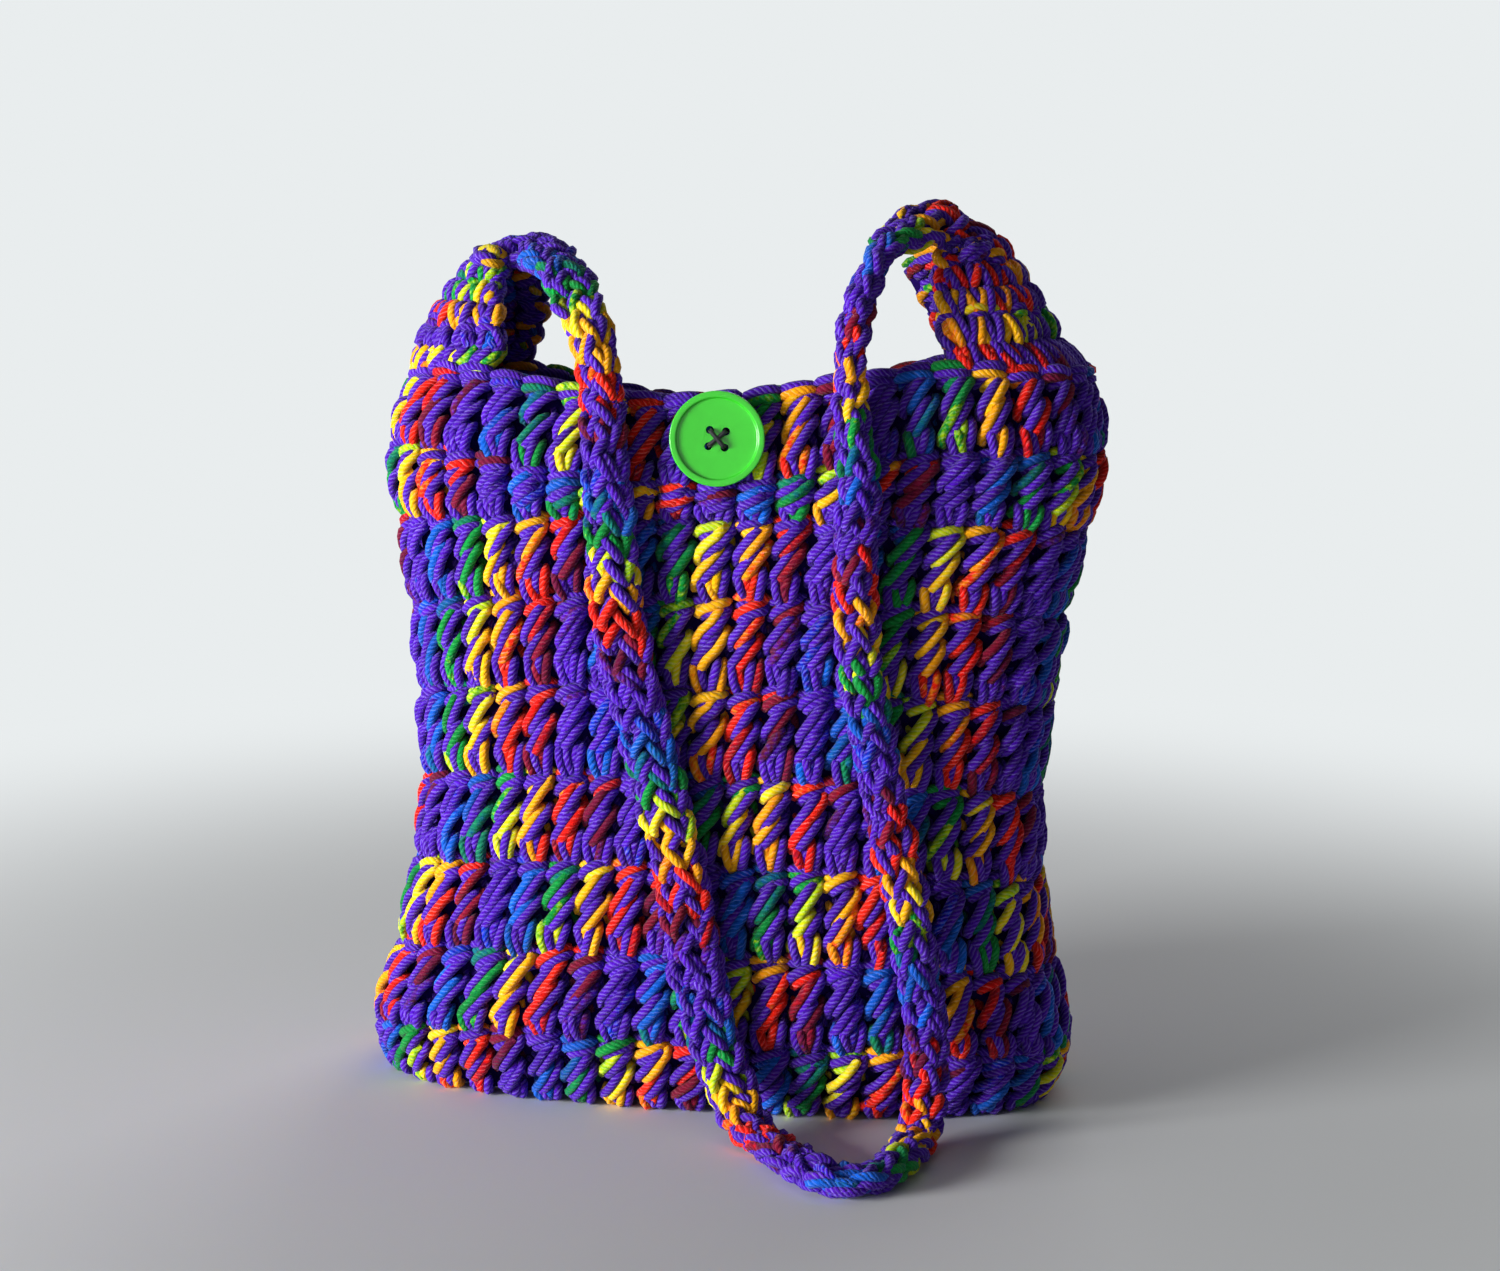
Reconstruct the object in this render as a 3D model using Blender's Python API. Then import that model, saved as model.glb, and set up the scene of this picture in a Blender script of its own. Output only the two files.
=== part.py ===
"""A small crocheted shoulder bag: a shell worked in rounds, a strap that widens into two
side tabs, and a large button sewn to the front. Metres, +Z up, front towards -Y. The
origin is on the table, under the middle of the floor."""

import math

import bmesh
import bpy
import numpy as np
from mathutils import Matrix, Vector

# Body
BODY_WIDTH = 0.2750  # these three are measured to the crests of the yarn
BODY_DEPTH = 0.1240
BODY_HEIGHT = 0.2775  # floor to rim, where the rim doesn't sag
STITCHES = 46  # tall stitches in each round
WALL = 0.009  # yarn crest to the inside of the fabric
PLAN_POWER = 2.3  # 2 is an ellipse, more is squarer
LEAN = 0.0120  # how far the rim sits to the right of the floor
POST_RELIEF = 0.0042  # depth of the groove between two stitches
ROW_RELIEF = 0.0034  # depth of the groove between two rounds
WRAP_RELIEF = 0.0010  # the dip between the wraps of yarn round each stitch
WRAP_SLANT = 0.15  # how far the top of a stitch leans to the right, in stitches
SAMPLES = 4  # mesh rings in one round

# The edges of the rounds, floor to rim, as shares: height at the middle of the front and
# back, height at the two sides, width, depth, and how much of the sag the edge takes
ROUND_EDGES = (
    (0.000, 0.000, 0.953, 0.887, 0.0),
    (0.099, 0.072, 1.000, 1.000, 0.0),
    (0.220, 0.187, 0.942, 0.968, 0.0),
    (0.341, 0.306, 0.898, 0.911, 0.0),
    (0.458, 0.422, 0.882, 0.863, 0.0),
    (0.577, 0.541, 0.896, 0.847, 0.0),
    (0.694, 0.663, 0.922, 0.855, 0.0),
    (0.800, 0.780, 0.964, 0.879, 0.0),
    (0.892, 0.883, 0.996, 0.839, 1.0),
    (1.000, 0.983, 0.945, 0.694, 1.0),
)
INNER_EDGES = (8, 6, 4, 1)  # the round edges that the plain inner wall follows
SAG = 0.0110  # the middle of the front hangs this far below the rest of the rim
BACK_SAG = 0.0150
SAG_REACH = 0.0960  # the sag fades out this far to each side of the middle
SAG_BULGE = 0.0050  # the slack there rolls this far outwards

# Strap
STRAP_WIDTH = 0.0150
STRAP_THICKNESS = 0.0090
STRAP_STITCH = 0.0096  # length of one chain of the strap
STRAP_PINCH = 0.80  # the section's size where two chains meet
CLEARANCE = 0.0003  # between any two pieces that touch
STRAP_LIFT = 0.0010  # the strap's inner face to the crests that it lies on

# The strap's middle line. Over each arch: x and z from the rim's end, y, and the way its
# outer face looks. Down the front: x, and the share of the body's height. On the table: x,
# distance in front of the body, height, and facing.
LEFT_ARCH = (
    (0.0385, -0.0030, 0.0452, (-0.25, 0, 1)),
    (0.0510, -0.0110, 0.0466, (0, 0, 1)),
    (0.0605, -0.0240, 0.0425, (0.4, -0.5, 1)),
    (0.0680, -0.0345, 0.0365, (0.5, -1, 0.6)),
    (0.0770, -0.0465, 0.0240, (0.1, -1, 0.1)),
    (0.0820, -0.0530, 0.0120, (0, -1, 0)),
)
LEFT_FALL = (
    (-0.0280, 0.948),
    (-0.0265, 0.865),
    (-0.0265, 0.775),
    (-0.0250, 0.695),
    (-0.0205, 0.609),
    (-0.0135, 0.512),
    (-0.0070, 0.418),
    (-0.0005, 0.324),
    (0.0050, 0.227),
    (0.0110, 0.141),
)
TABLE_LOOP = (
    (0.0190, 0.0100, 0.0110, (0, -0.7, 0.7)),
    (0.0290, 0.0210, 0.0010, (0, 0, 1)),
    (0.0385, 0.0340, 0.0000, (0, 0, 1)),
    (0.0484, 0.0469, 0.0000, (0, 0, 1)),
    (0.0575, 0.0575, 0.0000, (0, 0, 1)),
    (0.0684, 0.0620, 0.0000, (0, 0, 1)),
    (0.0780, 0.0545, 0.0000, (0, 0, 1)),
    (0.0830, 0.0410, 0.0000, (0, 0, 1)),
    (0.0860, 0.0260, 0.0000, (0, 0, 1)),
    (0.0885, 0.0120, 0.0040, (0, -0.6, 0.8)),
)
RIGHT_FALL = (
    (0.0580, 0.948),
    (0.0615, 0.865),
    (0.0612, 0.775),
    (0.0609, 0.695),
    (0.0628, 0.609),
    (0.0674, 0.512),
    (0.0725, 0.418),
    (0.0785, 0.324),
    (0.0828, 0.227),
    (0.0870, 0.144),
)
RIGHT_ARCH = (
    (-0.0460, -0.0030, 0.0535, (0.25, 0, 1)),
    (-0.0565, -0.0110, 0.0560, (0, 0, 1)),
    (-0.0650, -0.0230, 0.0515, (-0.4, -0.5, 1)),
    (-0.0705, -0.0340, 0.0440, (-0.5, -1, 0.6)),
    (-0.0755, -0.0455, 0.0290, (-0.1, -1, 0.1)),
    (-0.0785, -0.0530, 0.0120, (0, -1, 0)),
)
TAB_STITCHES = {-1: 9, 1: 11}  # how many of the rim's stitches the left and the right tab take
TAB_THICKNESS = 0.0080
TAB_RELIEF = 0.0016

# Rows of a tab, above the rim: how far its crown has come in from the rim's end, height
# above the rim, half depth, reach of its front edge, reach of its back edge, stitches
LEFT_TAB = (
    (0.0010, 0.0115, 0.0310, 0.0400, 0.0345, 8),
    (0.0075, 0.0215, 0.0260, 0.0300, 0.0330, 7),
    (0.0140, 0.0305, 0.0210, 0.0220, 0.0280, 6),
    (0.0215, 0.0370, 0.0160, 0.0150, 0.0200, 4),
    (0.0295, 0.0420, 0.0110, 0.0070, 0.0100, 3),
)
RIGHT_TAB = (
    (0.0060, 0.0128, 0.0310, 0.0350, 0.0460, 8),
    (0.0135, 0.0230, 0.0260, 0.0300, 0.0410, 7),
    (0.0200, 0.0330, 0.0210, 0.0250, 0.0380, 6),
    (0.0270, 0.0420, 0.0160, 0.0200, 0.0300, 4),
    (0.0360, 0.0495, 0.0110, 0.0090, 0.0140, 3),
)

# Shading of the yarn, in degrees
VALLEY_ANGLE = 22.0  # an inward bend over this is a crease
RIDGE_ANGLE = 80.0  # an outward bend over this is an edge

# Button
BUTTON_DIAMETER = 0.0340
BUTTON_THICKNESS = 0.0042
BUTTON_RIM = 0.0026  # width of the raised rim
BUTTON_DISH = 0.0011  # the face lies this far below the rim
BUTTON_HOLE = 0.0028
BUTTON_STEPS = 34  # flats round its edge
BUTTON_HOLE_SPACING = 0.0058
BUTTON_TURN = math.radians(7.0)  # it faces a little to the right
BUTTON_LEAN = math.radians(6.0)  # and a little upwards
BUTTON_SPIN = math.radians(-5.0)
BUTTON_ASIDE = 0.0110  # its centre lies this far to the right of the middle
BUTTON_DROP = 0.0150  # and this far below the sagging rim
BUTTON_LIFT = 0.0025  # its back stands this far off the fabric, so that its edge clears
THREAD = 0.0011
THREAD_SIDES = 6


def main():
    clear_scene()
    body = make_body()
    strap = make_strap()
    button, thread = make_button()
    for piece, colour, roughness in (
        (body, (0.105, 0.031, 0.410), 0.90),
        (strap, (0.130, 0.040, 0.460), 0.90),
        (button, (0.070, 0.530, 0.045), 0.28),
        (thread, (0.040, 0.020, 0.090), 0.70),
    ):
        dress(piece, colour, roughness)


def clear_scene():
    for old in list(bpy.data.objects):
        bpy.data.objects.remove(old, do_unlink=True)


def dress(piece, colour, roughness):
    material = bpy.data.materials.new(piece.name)
    material.use_nodes = True
    shader = material.node_tree.nodes["Principled BSDF"]
    shader.inputs["Base Color"].default_value = (*colour, 1.0)
    shader.inputs["Roughness"].default_value = roughness
    shader.inputs["Metallic"].default_value = 0.0
    material.diffuse_color = (*colour, 1.0)
    piece.data.materials.append(material)


def yarn_object(name, points, faces):
    """A mesh whose ridges are shaded round, with sharp creases in the valleys between them."""
    mesh = bpy.data.meshes.new(name)
    mesh.from_pydata([tuple(point) for point in points], [], faces)
    shape = bmesh.new()
    shape.from_mesh(mesh)
    bmesh.ops.recalc_face_normals(shape, faces=shape.faces)
    for face in shape.faces:
        face.smooth = True
    for edge in shape.edges:
        bend = math.degrees(edge.calc_face_angle_signed(0.0))
        edge.smooth = -VALLEY_ANGLE < bend < RIDGE_ANGLE
    shape.to_mesh(mesh)
    shape.free()
    piece = bpy.data.objects.new(name, mesh)
    bpy.context.scene.collection.objects.link(piece)
    return piece


def smooth_between(values, at):
    """The value at a fractional index, on one smooth curve through all the values."""
    low = min(max(int(math.floor(at)), 0), len(values) - 2)
    before, first = values[max(low - 1, 0)], values[low]
    second, after = values[low + 1], values[min(low + 2, len(values) - 1)]
    f = at - low
    slope_first, slope_second = (second - before) / 2, (after - first) / 2
    return (
        first * (2 * f**3 - 3 * f**2 + 1)
        + slope_first * (f**3 - 2 * f**2 + f)
        + second * (3 * f**2 - 2 * f**3)
        + slope_second * (f**3 - f**2)
    )


def plan_point(angle, half_width, half_depth):
    c, s = math.cos(angle), math.sin(angle)
    power = 2 / PLAN_POWER
    return np.array(
        (
            half_width * math.copysign(abs(c) ** power, c),
            half_depth * math.copysign(abs(s) ** power, s),
        )
    )


def even_angles():
    """Angles that share the plan's outline out evenly, one for each half stitch."""
    _, _, width, depth, _ = ROUND_EDGES[len(ROUND_EDGES) // 2]
    fine = np.linspace(0, 2 * math.pi, 2881)
    outline = np.array(
        [plan_point(angle, width * BODY_WIDTH, depth * BODY_DEPTH) for angle in fine]
    )
    run = np.concatenate([[0], np.cumsum(np.hypot(*np.diff(outline, axis=0).T))])
    return np.interp(np.linspace(0, run[-1], 2 * STITCHES + 1), run, fine)


ANGLES = even_angles()
ROUNDS = len(ROUND_EDGES) - 1


def stitch_angle(stitch):
    """The plan angle of a stitch: 0 is the right side, a quarter round is the back."""
    turns, rest = divmod(2 * stitch, 2 * STITCHES)
    return float(np.interp(rest, range(2 * STITCHES + 1), ANGLES)) + 2 * math.pi * turns


def surface(stitch, height, inset=0.0):
    """A point of the body. Height counts rounds up from the floor, and inset goes inwards."""
    middle, side, width, depth, sagging = (
        smooth_between([edge[k] for edge in ROUND_EDGES], height) for k in range(5)
    )
    width, depth = width * BODY_WIDTH / 2, depth * BODY_DEPTH / 2
    angle = stitch_angle(stitch)
    x, y = plan_point(angle, width, depth)
    towards_middle = (y / depth) ** 2
    z = BODY_HEIGHT * (side + (middle - side) * towards_middle)
    slack = sagging * max(0.0, 1 - (x / SAG_REACH) ** 2) ** 2 if abs(x) < width else 0.0
    normal = np.array(
        (
            math.copysign(abs(x / width) ** (PLAN_POWER - 1) / width, x),
            math.copysign(abs(y / depth) ** (PLAN_POWER - 1) / depth, y),
        )
    )
    normal /= np.linalg.norm(normal)
    bulge = SAG_BULGE * slack * y / depth
    x, y = np.array((x, y + bulge)) - inset * normal
    z -= slack * (SAG if angle % (2 * math.pi) > math.pi else BACK_SAG)
    return np.array((x + LEAN * height / ROUNDS, y, z))


def on_front_of_body(x, z):
    """The point of the front's crests at this x and z, and the way the fabric faces there."""
    stitch, height = STITCHES * (0.75 + x / (2.2 * BODY_WIDTH)), ROUNDS * z / BODY_HEIGHT
    step = 0.05
    for _ in range(8):
        point = surface(stitch, height)
        along = (surface(stitch + step, height) - point) / step
        above = (surface(stitch, height + step) - point) / step
        slopes = np.array(((along[0], above[0]), (along[2], above[2])))
        moves = np.linalg.solve(slopes, (x - point[0], z - point[2]))
        stitch += float(np.clip(moves[0], -3, 3))
        height = min(max(height + float(moves[1]), 0.0), float(ROUNDS))
    facing = np.cross(along, above)
    return surface(stitch, height), facing / np.linalg.norm(facing)


def joined(first, second, first_at, second_at, closed):
    """Triangles between two lines of points whose places along the line are given. Where the
    points are level, the edges across lean towards the odd points, which are the crests."""
    faces = []
    i = j = 0
    last_i, last_j = len(first) - (0 if closed else 1), len(second) - (0 if closed else 1)
    while i < last_i or j < last_j:
        next_i = first_at[i + 1] if i + 1 < len(first) else 1.0 if i < last_i else 2.0
        next_j = second_at[j + 1] if j + 1 < len(second) else 1.0 if j < last_j else 2.0
        level = next_i == next_j and i % 2
        if j >= last_j or (i < last_i and (next_i < next_j or level)):
            following = first[(i + 1) % len(first)]
            faces.append((first[i % len(first)], following, second[j % len(second)]))
            i += 1
        else:
            following = second[(j + 1) % len(second)]
            faces.append((first[i % len(first)], following, second[j % len(second)]))
            j += 1
    return faces


def body_ring(height, phase):
    """One ring of the ridged outside: crests on the half stitches, grooves between."""
    fullness = math.sin(math.pi * phase) ** 0.5
    dip = WRAP_RELIEF * (1 - abs(2 * phase - 1) * 2) if 0.25 <= phase <= 0.75 else 0.0
    lean = WRAP_SLANT * (2 * phase - 1) if phase else 0.0
    ring = []
    for half in range(2 * STITCHES):
        on_crest = half % 2
        inset = ROW_RELIEF * (1 - fullness)
        inset += dip if on_crest else POST_RELIEF * fullness
        ring.append(surface(half / 2 + lean * on_crest, height, inset))
    return ring


def plain_ring(height, inset):
    """One ring of the smooth inside, with a point for each whole stitch."""
    return [surface(stitch, height, inset) for stitch in range(STITCHES)]


def make_body():
    rings = []
    for level in range(ROUNDS):
        for sample in range(SAMPLES):
            phase = sample / SAMPLES
            rings.append(body_ring(level + phase, phase))
    for inset in (0.2 * WALL, 0.8 * WALL):
        rings.append([surface(half / 2, ROUNDS, inset) for half in range(2 * STITCHES)])
    rings += [plain_ring(height, WALL) for height in INNER_EDGES]
    rings.append([np.array((x, y, WALL)) for x, y, _ in plain_ring(1, 1.6 * WALL)])
    points, faces, numbers = [], [], []
    for ring in rings:
        numbers.append(list(range(len(points), len(points) + len(ring))))
        points += ring
    faces.append(tuple(numbers[0][::-1]))
    for low, high in zip(numbers, numbers[1:]):
        low_at, high_at = (np.arange(len(ring)) / len(ring) for ring in (low, high))
        faces += joined(low, high, low_at, high_at, closed=True)
    faces.append(tuple(numbers[-1]))
    return yarn_object("bag_body", points, faces)


def rim_end(side):
    """The middle of the rim's fabric at the left (-1) or right (1) end."""
    return surface(0 if side > 0 else STITCHES / 2, ROUNDS, WALL / 2)


def tab_base(side):
    """The lowest ring of a tab: it stands on the rim, column over column."""
    tip = 0 if side > 0 else STITCHES / 2
    reach = TAB_STITCHES[side] / 2
    halves = np.arange(-2 * reach, 2 * reach + 1) / 2 * side
    lift = np.array((0, 0, CLEARANCE))
    outside, inside = 0.5 * (WALL - TAB_THICKNESS), 0.5 * (WALL + TAB_THICKNESS)
    outer = [surface(tip + half, ROUNDS, outside) + lift for half in halves]
    inner = [surface(tip + half, ROUNDS, inside) + lift for half in halves[::-1]]
    return outer, inner


def tab_row(side, row, relief):
    """One ring of a tab at a row: an outer line from front to back, an inner line back."""
    inset, rise, half_depth, front_reach, back_reach, stitches = row
    end = rim_end(side)
    crown = end + np.array((-side * inset, 0, rise))
    towards = math.atan2(inset, rise)
    outwards = np.array((side * math.cos(towards), 0, math.sin(towards)))

    def section(place, offset):
        reach = front_reach if place < 0 else back_reach
        turn = abs(place) * math.pi / 2
        point = crown + np.array((-side * reach * (1 - math.cos(turn)), 0, 0))
        point[1] += math.copysign(half_depth * math.sin(turn), place)
        facing = outwards * math.cos(turn) + np.array((0, math.copysign(math.sin(turn), place), 0))
        return point + facing / np.linalg.norm(facing) * offset

    places = np.linspace(-1, 1, 2 * stitches + 1)
    half = TAB_THICKNESS / 2
    outer = [
        section(place, half - relief * (1 if k % 2 else 0) - relief)
        for k, place in enumerate(places)
    ]
    inner = [section(place, -half + relief) for place in places[::-2]]
    return outer, inner


def between(first, second):
    """The row half-way between two rows of a tab, with the first one's stitches."""
    return tuple((a + b) / 2 for a, b in zip(first[:5], second[:5])) + (first[5],)


def strap_route():
    """Points of the strap's middle line and the way its outer face looks, end to end."""
    left, right = rim_end(-1), rim_end(1)
    half = STRAP_THICKNESS / 2
    route = []

    def over(end, x, y, z, facing):
        route.append((end * (1, 0, 1) + (x, y, z), np.array(facing, float)))

    def down(x, share):
        point, facing = on_front_of_body(x, share * BODY_HEIGHT)
        route.append((point + facing * (half + STRAP_LIFT), facing))

    def along(x, out, z, facing):
        y = -BODY_DEPTH / 2 - out
        route.append((np.array((x, y, z + half + CLEARANCE)), np.array(facing, float)))

    for x, y, z, facing in LEFT_ARCH:
        over(left, x, y, z, facing)
    for x, share in LEFT_FALL:
        down(x, share)
    for x, out, z, facing in TABLE_LOOP:
        along(x, out, z, facing)
    for x, share in RIGHT_FALL[::-1]:
        down(x, share)
    for x, y, z, facing in RIGHT_ARCH[::-1]:
        over(right, x, y, z, facing)
    return route


def strap_stations():
    """The route at every half chain: middle point, direction, facing and width direction."""
    route = strap_route()
    points = [point for point, _ in route]
    facings = [facing / np.linalg.norm(facing) for _, facing in route]
    fine = np.linspace(0, len(route) - 1, 40 * len(route))
    line = np.array([smooth_between(points, at) for at in fine])
    run = np.concatenate([[0], np.cumsum(np.linalg.norm(np.diff(line, axis=0), axis=1))])
    halves = 2 * round(run[-1] / STRAP_STITCH)
    stations = []
    for distance in np.linspace(0, run[-1], halves + 1):
        at = float(np.interp(distance, run, fine))
        ahead = smooth_between(points, min(at + 0.01, len(route) - 1))
        direction = ahead - smooth_between(points, max(at - 0.01, 0))
        direction /= np.linalg.norm(direction)
        facing = smooth_between(facings, at)
        facing -= direction * (facing @ direction)
        facing /= np.linalg.norm(facing)
        point = smooth_between(points, at)
        stations.append((point, direction, facing, np.cross(facing, direction)))
    return stations


def strap_ring(station, index):
    """One ring of the strap: two strands' crests on each face, in step with its chains."""
    point, direction, facing, across = station
    size = 1.0 if index % 2 else STRAP_PINCH
    half_width, half = STRAP_WIDTH / 2 * (0.5 + size / 2), STRAP_THICKNESS / 2 * size
    shift = STRAP_STITCH * 0.18 * (1 if index % 2 else -1)
    outer = [
        point - across * half_width,
        point - across * half_width * 0.5 + facing * half + direction * shift,
        point + facing * half * 0.55,
        point + across * half_width * 0.5 + facing * half - direction * shift,
        point + across * half_width,
    ]
    inner = [
        point + across * half_width * 0.5 - facing * half,
        point - across * half_width * 0.5 - facing * half,
    ]
    return outer, inner


def tab_rings(side, rows):
    """The rings of a tab, rim to crown, two for each of its rows."""
    rings = [tab_base(side)]
    levels = [tab_row(side, rows[0], TAB_RELIEF)]
    for k, row in enumerate(rows):
        levels.append(tab_row(side, row, TAB_RELIEF if k % 2 else 0.0))
        if k + 1 < len(rows):
            levels.append(tab_row(side, between(row, rows[k + 1]), TAB_RELIEF))
    return rings + levels[1:]


def make_strap():
    left = tab_rings(-1, LEFT_TAB)
    right = tab_rings(1, RIGHT_TAB)
    middle = [strap_ring(station, k) for k, station in enumerate(strap_stations())]
    rings = left + middle + right[::-1]
    points, faces, lines = [], [], []
    for outer, inner in rings:
        first = len(points)
        points += outer + inner
        numbers = list(range(first, len(points)))
        places = list(np.linspace(0, 0.5, len(outer)))
        places += list(np.linspace(0.5, 1, len(inner) + 2)[1:-1])
        lines.append((numbers, places, len(outer)))
    for (low, low_at, _), (high, high_at, _) in zip(lines, lines[1:]):
        faces += joined(low, high, low_at, high_at, closed=True)
    for numbers, _, outer in (lines[0], lines[-1]):
        front = numbers[:outer]
        back = [numbers[0]] + numbers[outer:][::-1] + [numbers[outer - 1]]
        faces += end_cap(front, back)
    return yarn_object("shoulder_strap", points, faces)


def end_cap(front, back):
    """Triangles that close the end of a ring between its outer and its inner line."""
    faces = joined(
        front, back, np.linspace(0, 1, len(front)), np.linspace(0, 1, len(back)), closed=False
    )
    return [face for face in faces if len(set(face)) == 3]


def lathe(profile, steps):
    """A closed turned shape from (radius, height) points that start and end on the axis."""
    shape = bmesh.new()
    verts = [shape.verts.new((radius, 0, height)) for radius, height in profile]
    edges = [shape.edges.new(pair) for pair in zip(verts, verts[1:])]
    bmesh.ops.spin(
        shape,
        geom=verts + edges,
        cent=(0, 0, 0),
        axis=(0, 0, 1),
        angle=2 * math.pi,
        steps=steps,
        use_merge=True,
    )
    bmesh.ops.remove_doubles(shape, verts=shape.verts, dist=1e-6)
    return shape


def finish_shape(name, shape, place):
    bmesh.ops.recalc_face_normals(shape, faces=shape.faces)
    shape.transform(place)
    mesh = bpy.data.meshes.new(name)
    shape.to_mesh(mesh)
    shape.free()
    mesh.shade_smooth()
    mesh.set_sharp_from_angle(angle=math.radians(35))
    piece = bpy.data.objects.new(name, mesh)
    bpy.context.scene.collection.objects.link(piece)
    return piece


def boolean(piece, other, operation):
    other.hide_render = True
    other.display_type = "WIRE"
    modifier = piece.modifiers.new(operation.lower(), "BOOLEAN")
    modifier.operation = operation
    modifier.solver = "EXACT"
    modifier.object = other


def button_place():
    """Takes the button's own frame, back at z = 0 and face towards +Z, to the bag's front."""
    point, _ = on_front_of_body(BUTTON_ASIDE, BODY_HEIGHT - SAG - BUTTON_DROP)
    turn = Matrix.Rotation(BUTTON_TURN, 4, "Z")
    lean = Matrix.Rotation(math.pi / 2 - BUTTON_LEAN, 4, "X")
    spin = Matrix.Rotation(BUTTON_SPIN, 4, "Z")
    facing = (turn @ lean) @ Vector((0, 0, 1))
    return Matrix.Translation(Vector(point) + facing * BUTTON_LIFT) @ turn @ lean @ spin


def make_button():
    radius, thick = BUTTON_DIAMETER / 2, BUTTON_THICKNESS
    recess, face = radius - BUTTON_RIM, thick - BUTTON_DISH
    profile = (
        (0, face - 0.0003),
        (recess * 0.6, face - 0.0002),
        (recess - 0.0002, face),
        (recess + 0.0004, thick - 0.0002),
        (recess + BUTTON_RIM * 0.45, thick),
        (radius - 0.0005, thick - 0.0005),
        (radius, thick - 0.0016),
        (radius - 0.0010, 0.0006),
        (radius - 0.0026, 0),
        (0, 0),
    )
    place = button_place()
    button = finish_shape("button", lathe(profile, BUTTON_STEPS), place)
    holes = bmesh.new()
    for k in range(4):
        angle = math.radians(45 + 90 * k)
        reach = BUTTON_HOLE_SPACING / math.sqrt(2)
        at = Matrix.Translation((reach * math.cos(angle), reach * math.sin(angle), thick / 2))
        bmesh.ops.create_cone(
            holes,
            cap_ends=True,
            segments=16,
            radius1=BUTTON_HOLE / 2,
            radius2=BUTTON_HOLE / 2,
            depth=2 * thick,
            matrix=at,
        )
    boolean(button, finish_shape("button_holes", holes, place), "DIFFERENCE")
    stitches = [thread_stitch(f"thread_{k}", math.radians(45 + 90 * k), place) for k in range(2)]
    thread = stitches[0]
    thread.name = "button_thread"
    boolean(thread, stitches[1], "UNION")
    return button, thread


def thread_stitch(name, angle, place):
    """One stitch of thread: up one hole, across the face and down the opposite hole."""
    reach, radius = BUTTON_HOLE_SPACING / math.sqrt(2), THREAD / 2
    face = BUTTON_THICKNESS - BUTTON_DISH + radius + CLEARANCE
    bend = 3 * radius
    foot = CLEARANCE + radius - BUTTON_LIFT
    path = [(-reach, foot), (-reach, face - bend), (-reach + 0.3 * bend, face - 0.3 * bend)]
    path += [(-reach + bend, face), (0.0, face + 0.3 * radius)]
    path += [(-x, z) for x, z in path[:-1][::-1]]
    shape = bmesh.new()
    rings = []
    for k, (x, z) in enumerate(path):
        before, after = path[max(k - 1, 0)], path[min(k + 1, len(path) - 1)]
        slope = math.atan2(after[1] - before[1], after[0] - before[0])
        upright, along = Vector((-math.sin(slope), 0, math.cos(slope))), Vector((0, 1, 0))
        ring = []
        for corner in range(THREAD_SIDES):
            turn = 2 * math.pi * corner / THREAD_SIDES
            spot = Vector((x, 0, z)) + radius * (upright * math.cos(turn) + along * math.sin(turn))
            ring.append(shape.verts.new(Matrix.Rotation(angle, 3, "Z") @ spot))
        rings.append(ring)
    for low, high in zip(rings, rings[1:]):
        for k in range(THREAD_SIDES):
            following = (k + 1) % THREAD_SIDES
            shape.faces.new((low[k], low[following], high[following], high[k]))
    shape.faces.new(rings[0])
    shape.faces.new(rings[-1][::-1])
    return finish_shape(name, shape, place)


if __name__ == "__main__":
    main()
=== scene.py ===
"""Looks of a small crocheted shoulder bag: the strands of its yarn, laid along the stitches of the
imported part, and a moulded button sewn to the front. Metres, +Z up, the front towards -Y."""

from __future__ import annotations

import logging
import math
from abc import ABC, abstractmethod
from dataclasses import dataclass, field
from enum import Enum, IntEnum
from typing import Callable

import bmesh
import bpy
import numpy as np
from bpy.types import Material, Mesh, Modifier, Node, NodeSocket, NodeTree, Object
from mathutils import Matrix, Vector
from numpy.random import Generator

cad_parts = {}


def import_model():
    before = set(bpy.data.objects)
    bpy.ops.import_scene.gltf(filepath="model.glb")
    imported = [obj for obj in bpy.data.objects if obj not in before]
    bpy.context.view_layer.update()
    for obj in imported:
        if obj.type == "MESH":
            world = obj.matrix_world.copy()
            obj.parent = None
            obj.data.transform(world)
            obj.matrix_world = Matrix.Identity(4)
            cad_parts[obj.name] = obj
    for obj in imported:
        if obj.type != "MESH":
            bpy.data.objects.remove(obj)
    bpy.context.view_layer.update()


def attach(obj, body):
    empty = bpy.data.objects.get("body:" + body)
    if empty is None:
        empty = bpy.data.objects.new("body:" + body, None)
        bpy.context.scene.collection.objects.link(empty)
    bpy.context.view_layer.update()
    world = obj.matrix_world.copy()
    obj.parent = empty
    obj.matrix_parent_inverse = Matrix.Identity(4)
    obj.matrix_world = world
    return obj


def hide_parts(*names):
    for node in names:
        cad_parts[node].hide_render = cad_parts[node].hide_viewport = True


Array = np.ndarray
LOG = logging.getLogger("crochet_bag")
BODY = "root"
MM = 0.001
# A Mix node's sockets: its two numbers, its two colours, and the colour that comes out
NUMBER_A, NUMBER_B, COLOUR_A, COLOUR_B, COLOUR_OUT = 2, 3, 6, 7, 2


class Part(Enum):
    """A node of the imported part, and the material slot of what stands for it."""

    BODY = ("bag_body", "body_yarn")
    STRAP = ("shoulder_strap", "strap_yarn")
    BUTTON = ("button", "button_plastic")
    THREAD = ("button_thread", "sewing_thread")


class Dye(Enum):
    """Which of the two yarns a strand is."""

    PLAIN = 1.0
    RAINBOW = 0.0


class Side(IntEnum):
    """An end of the bag."""

    LEFT = -1
    RIGHT = 1


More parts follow.
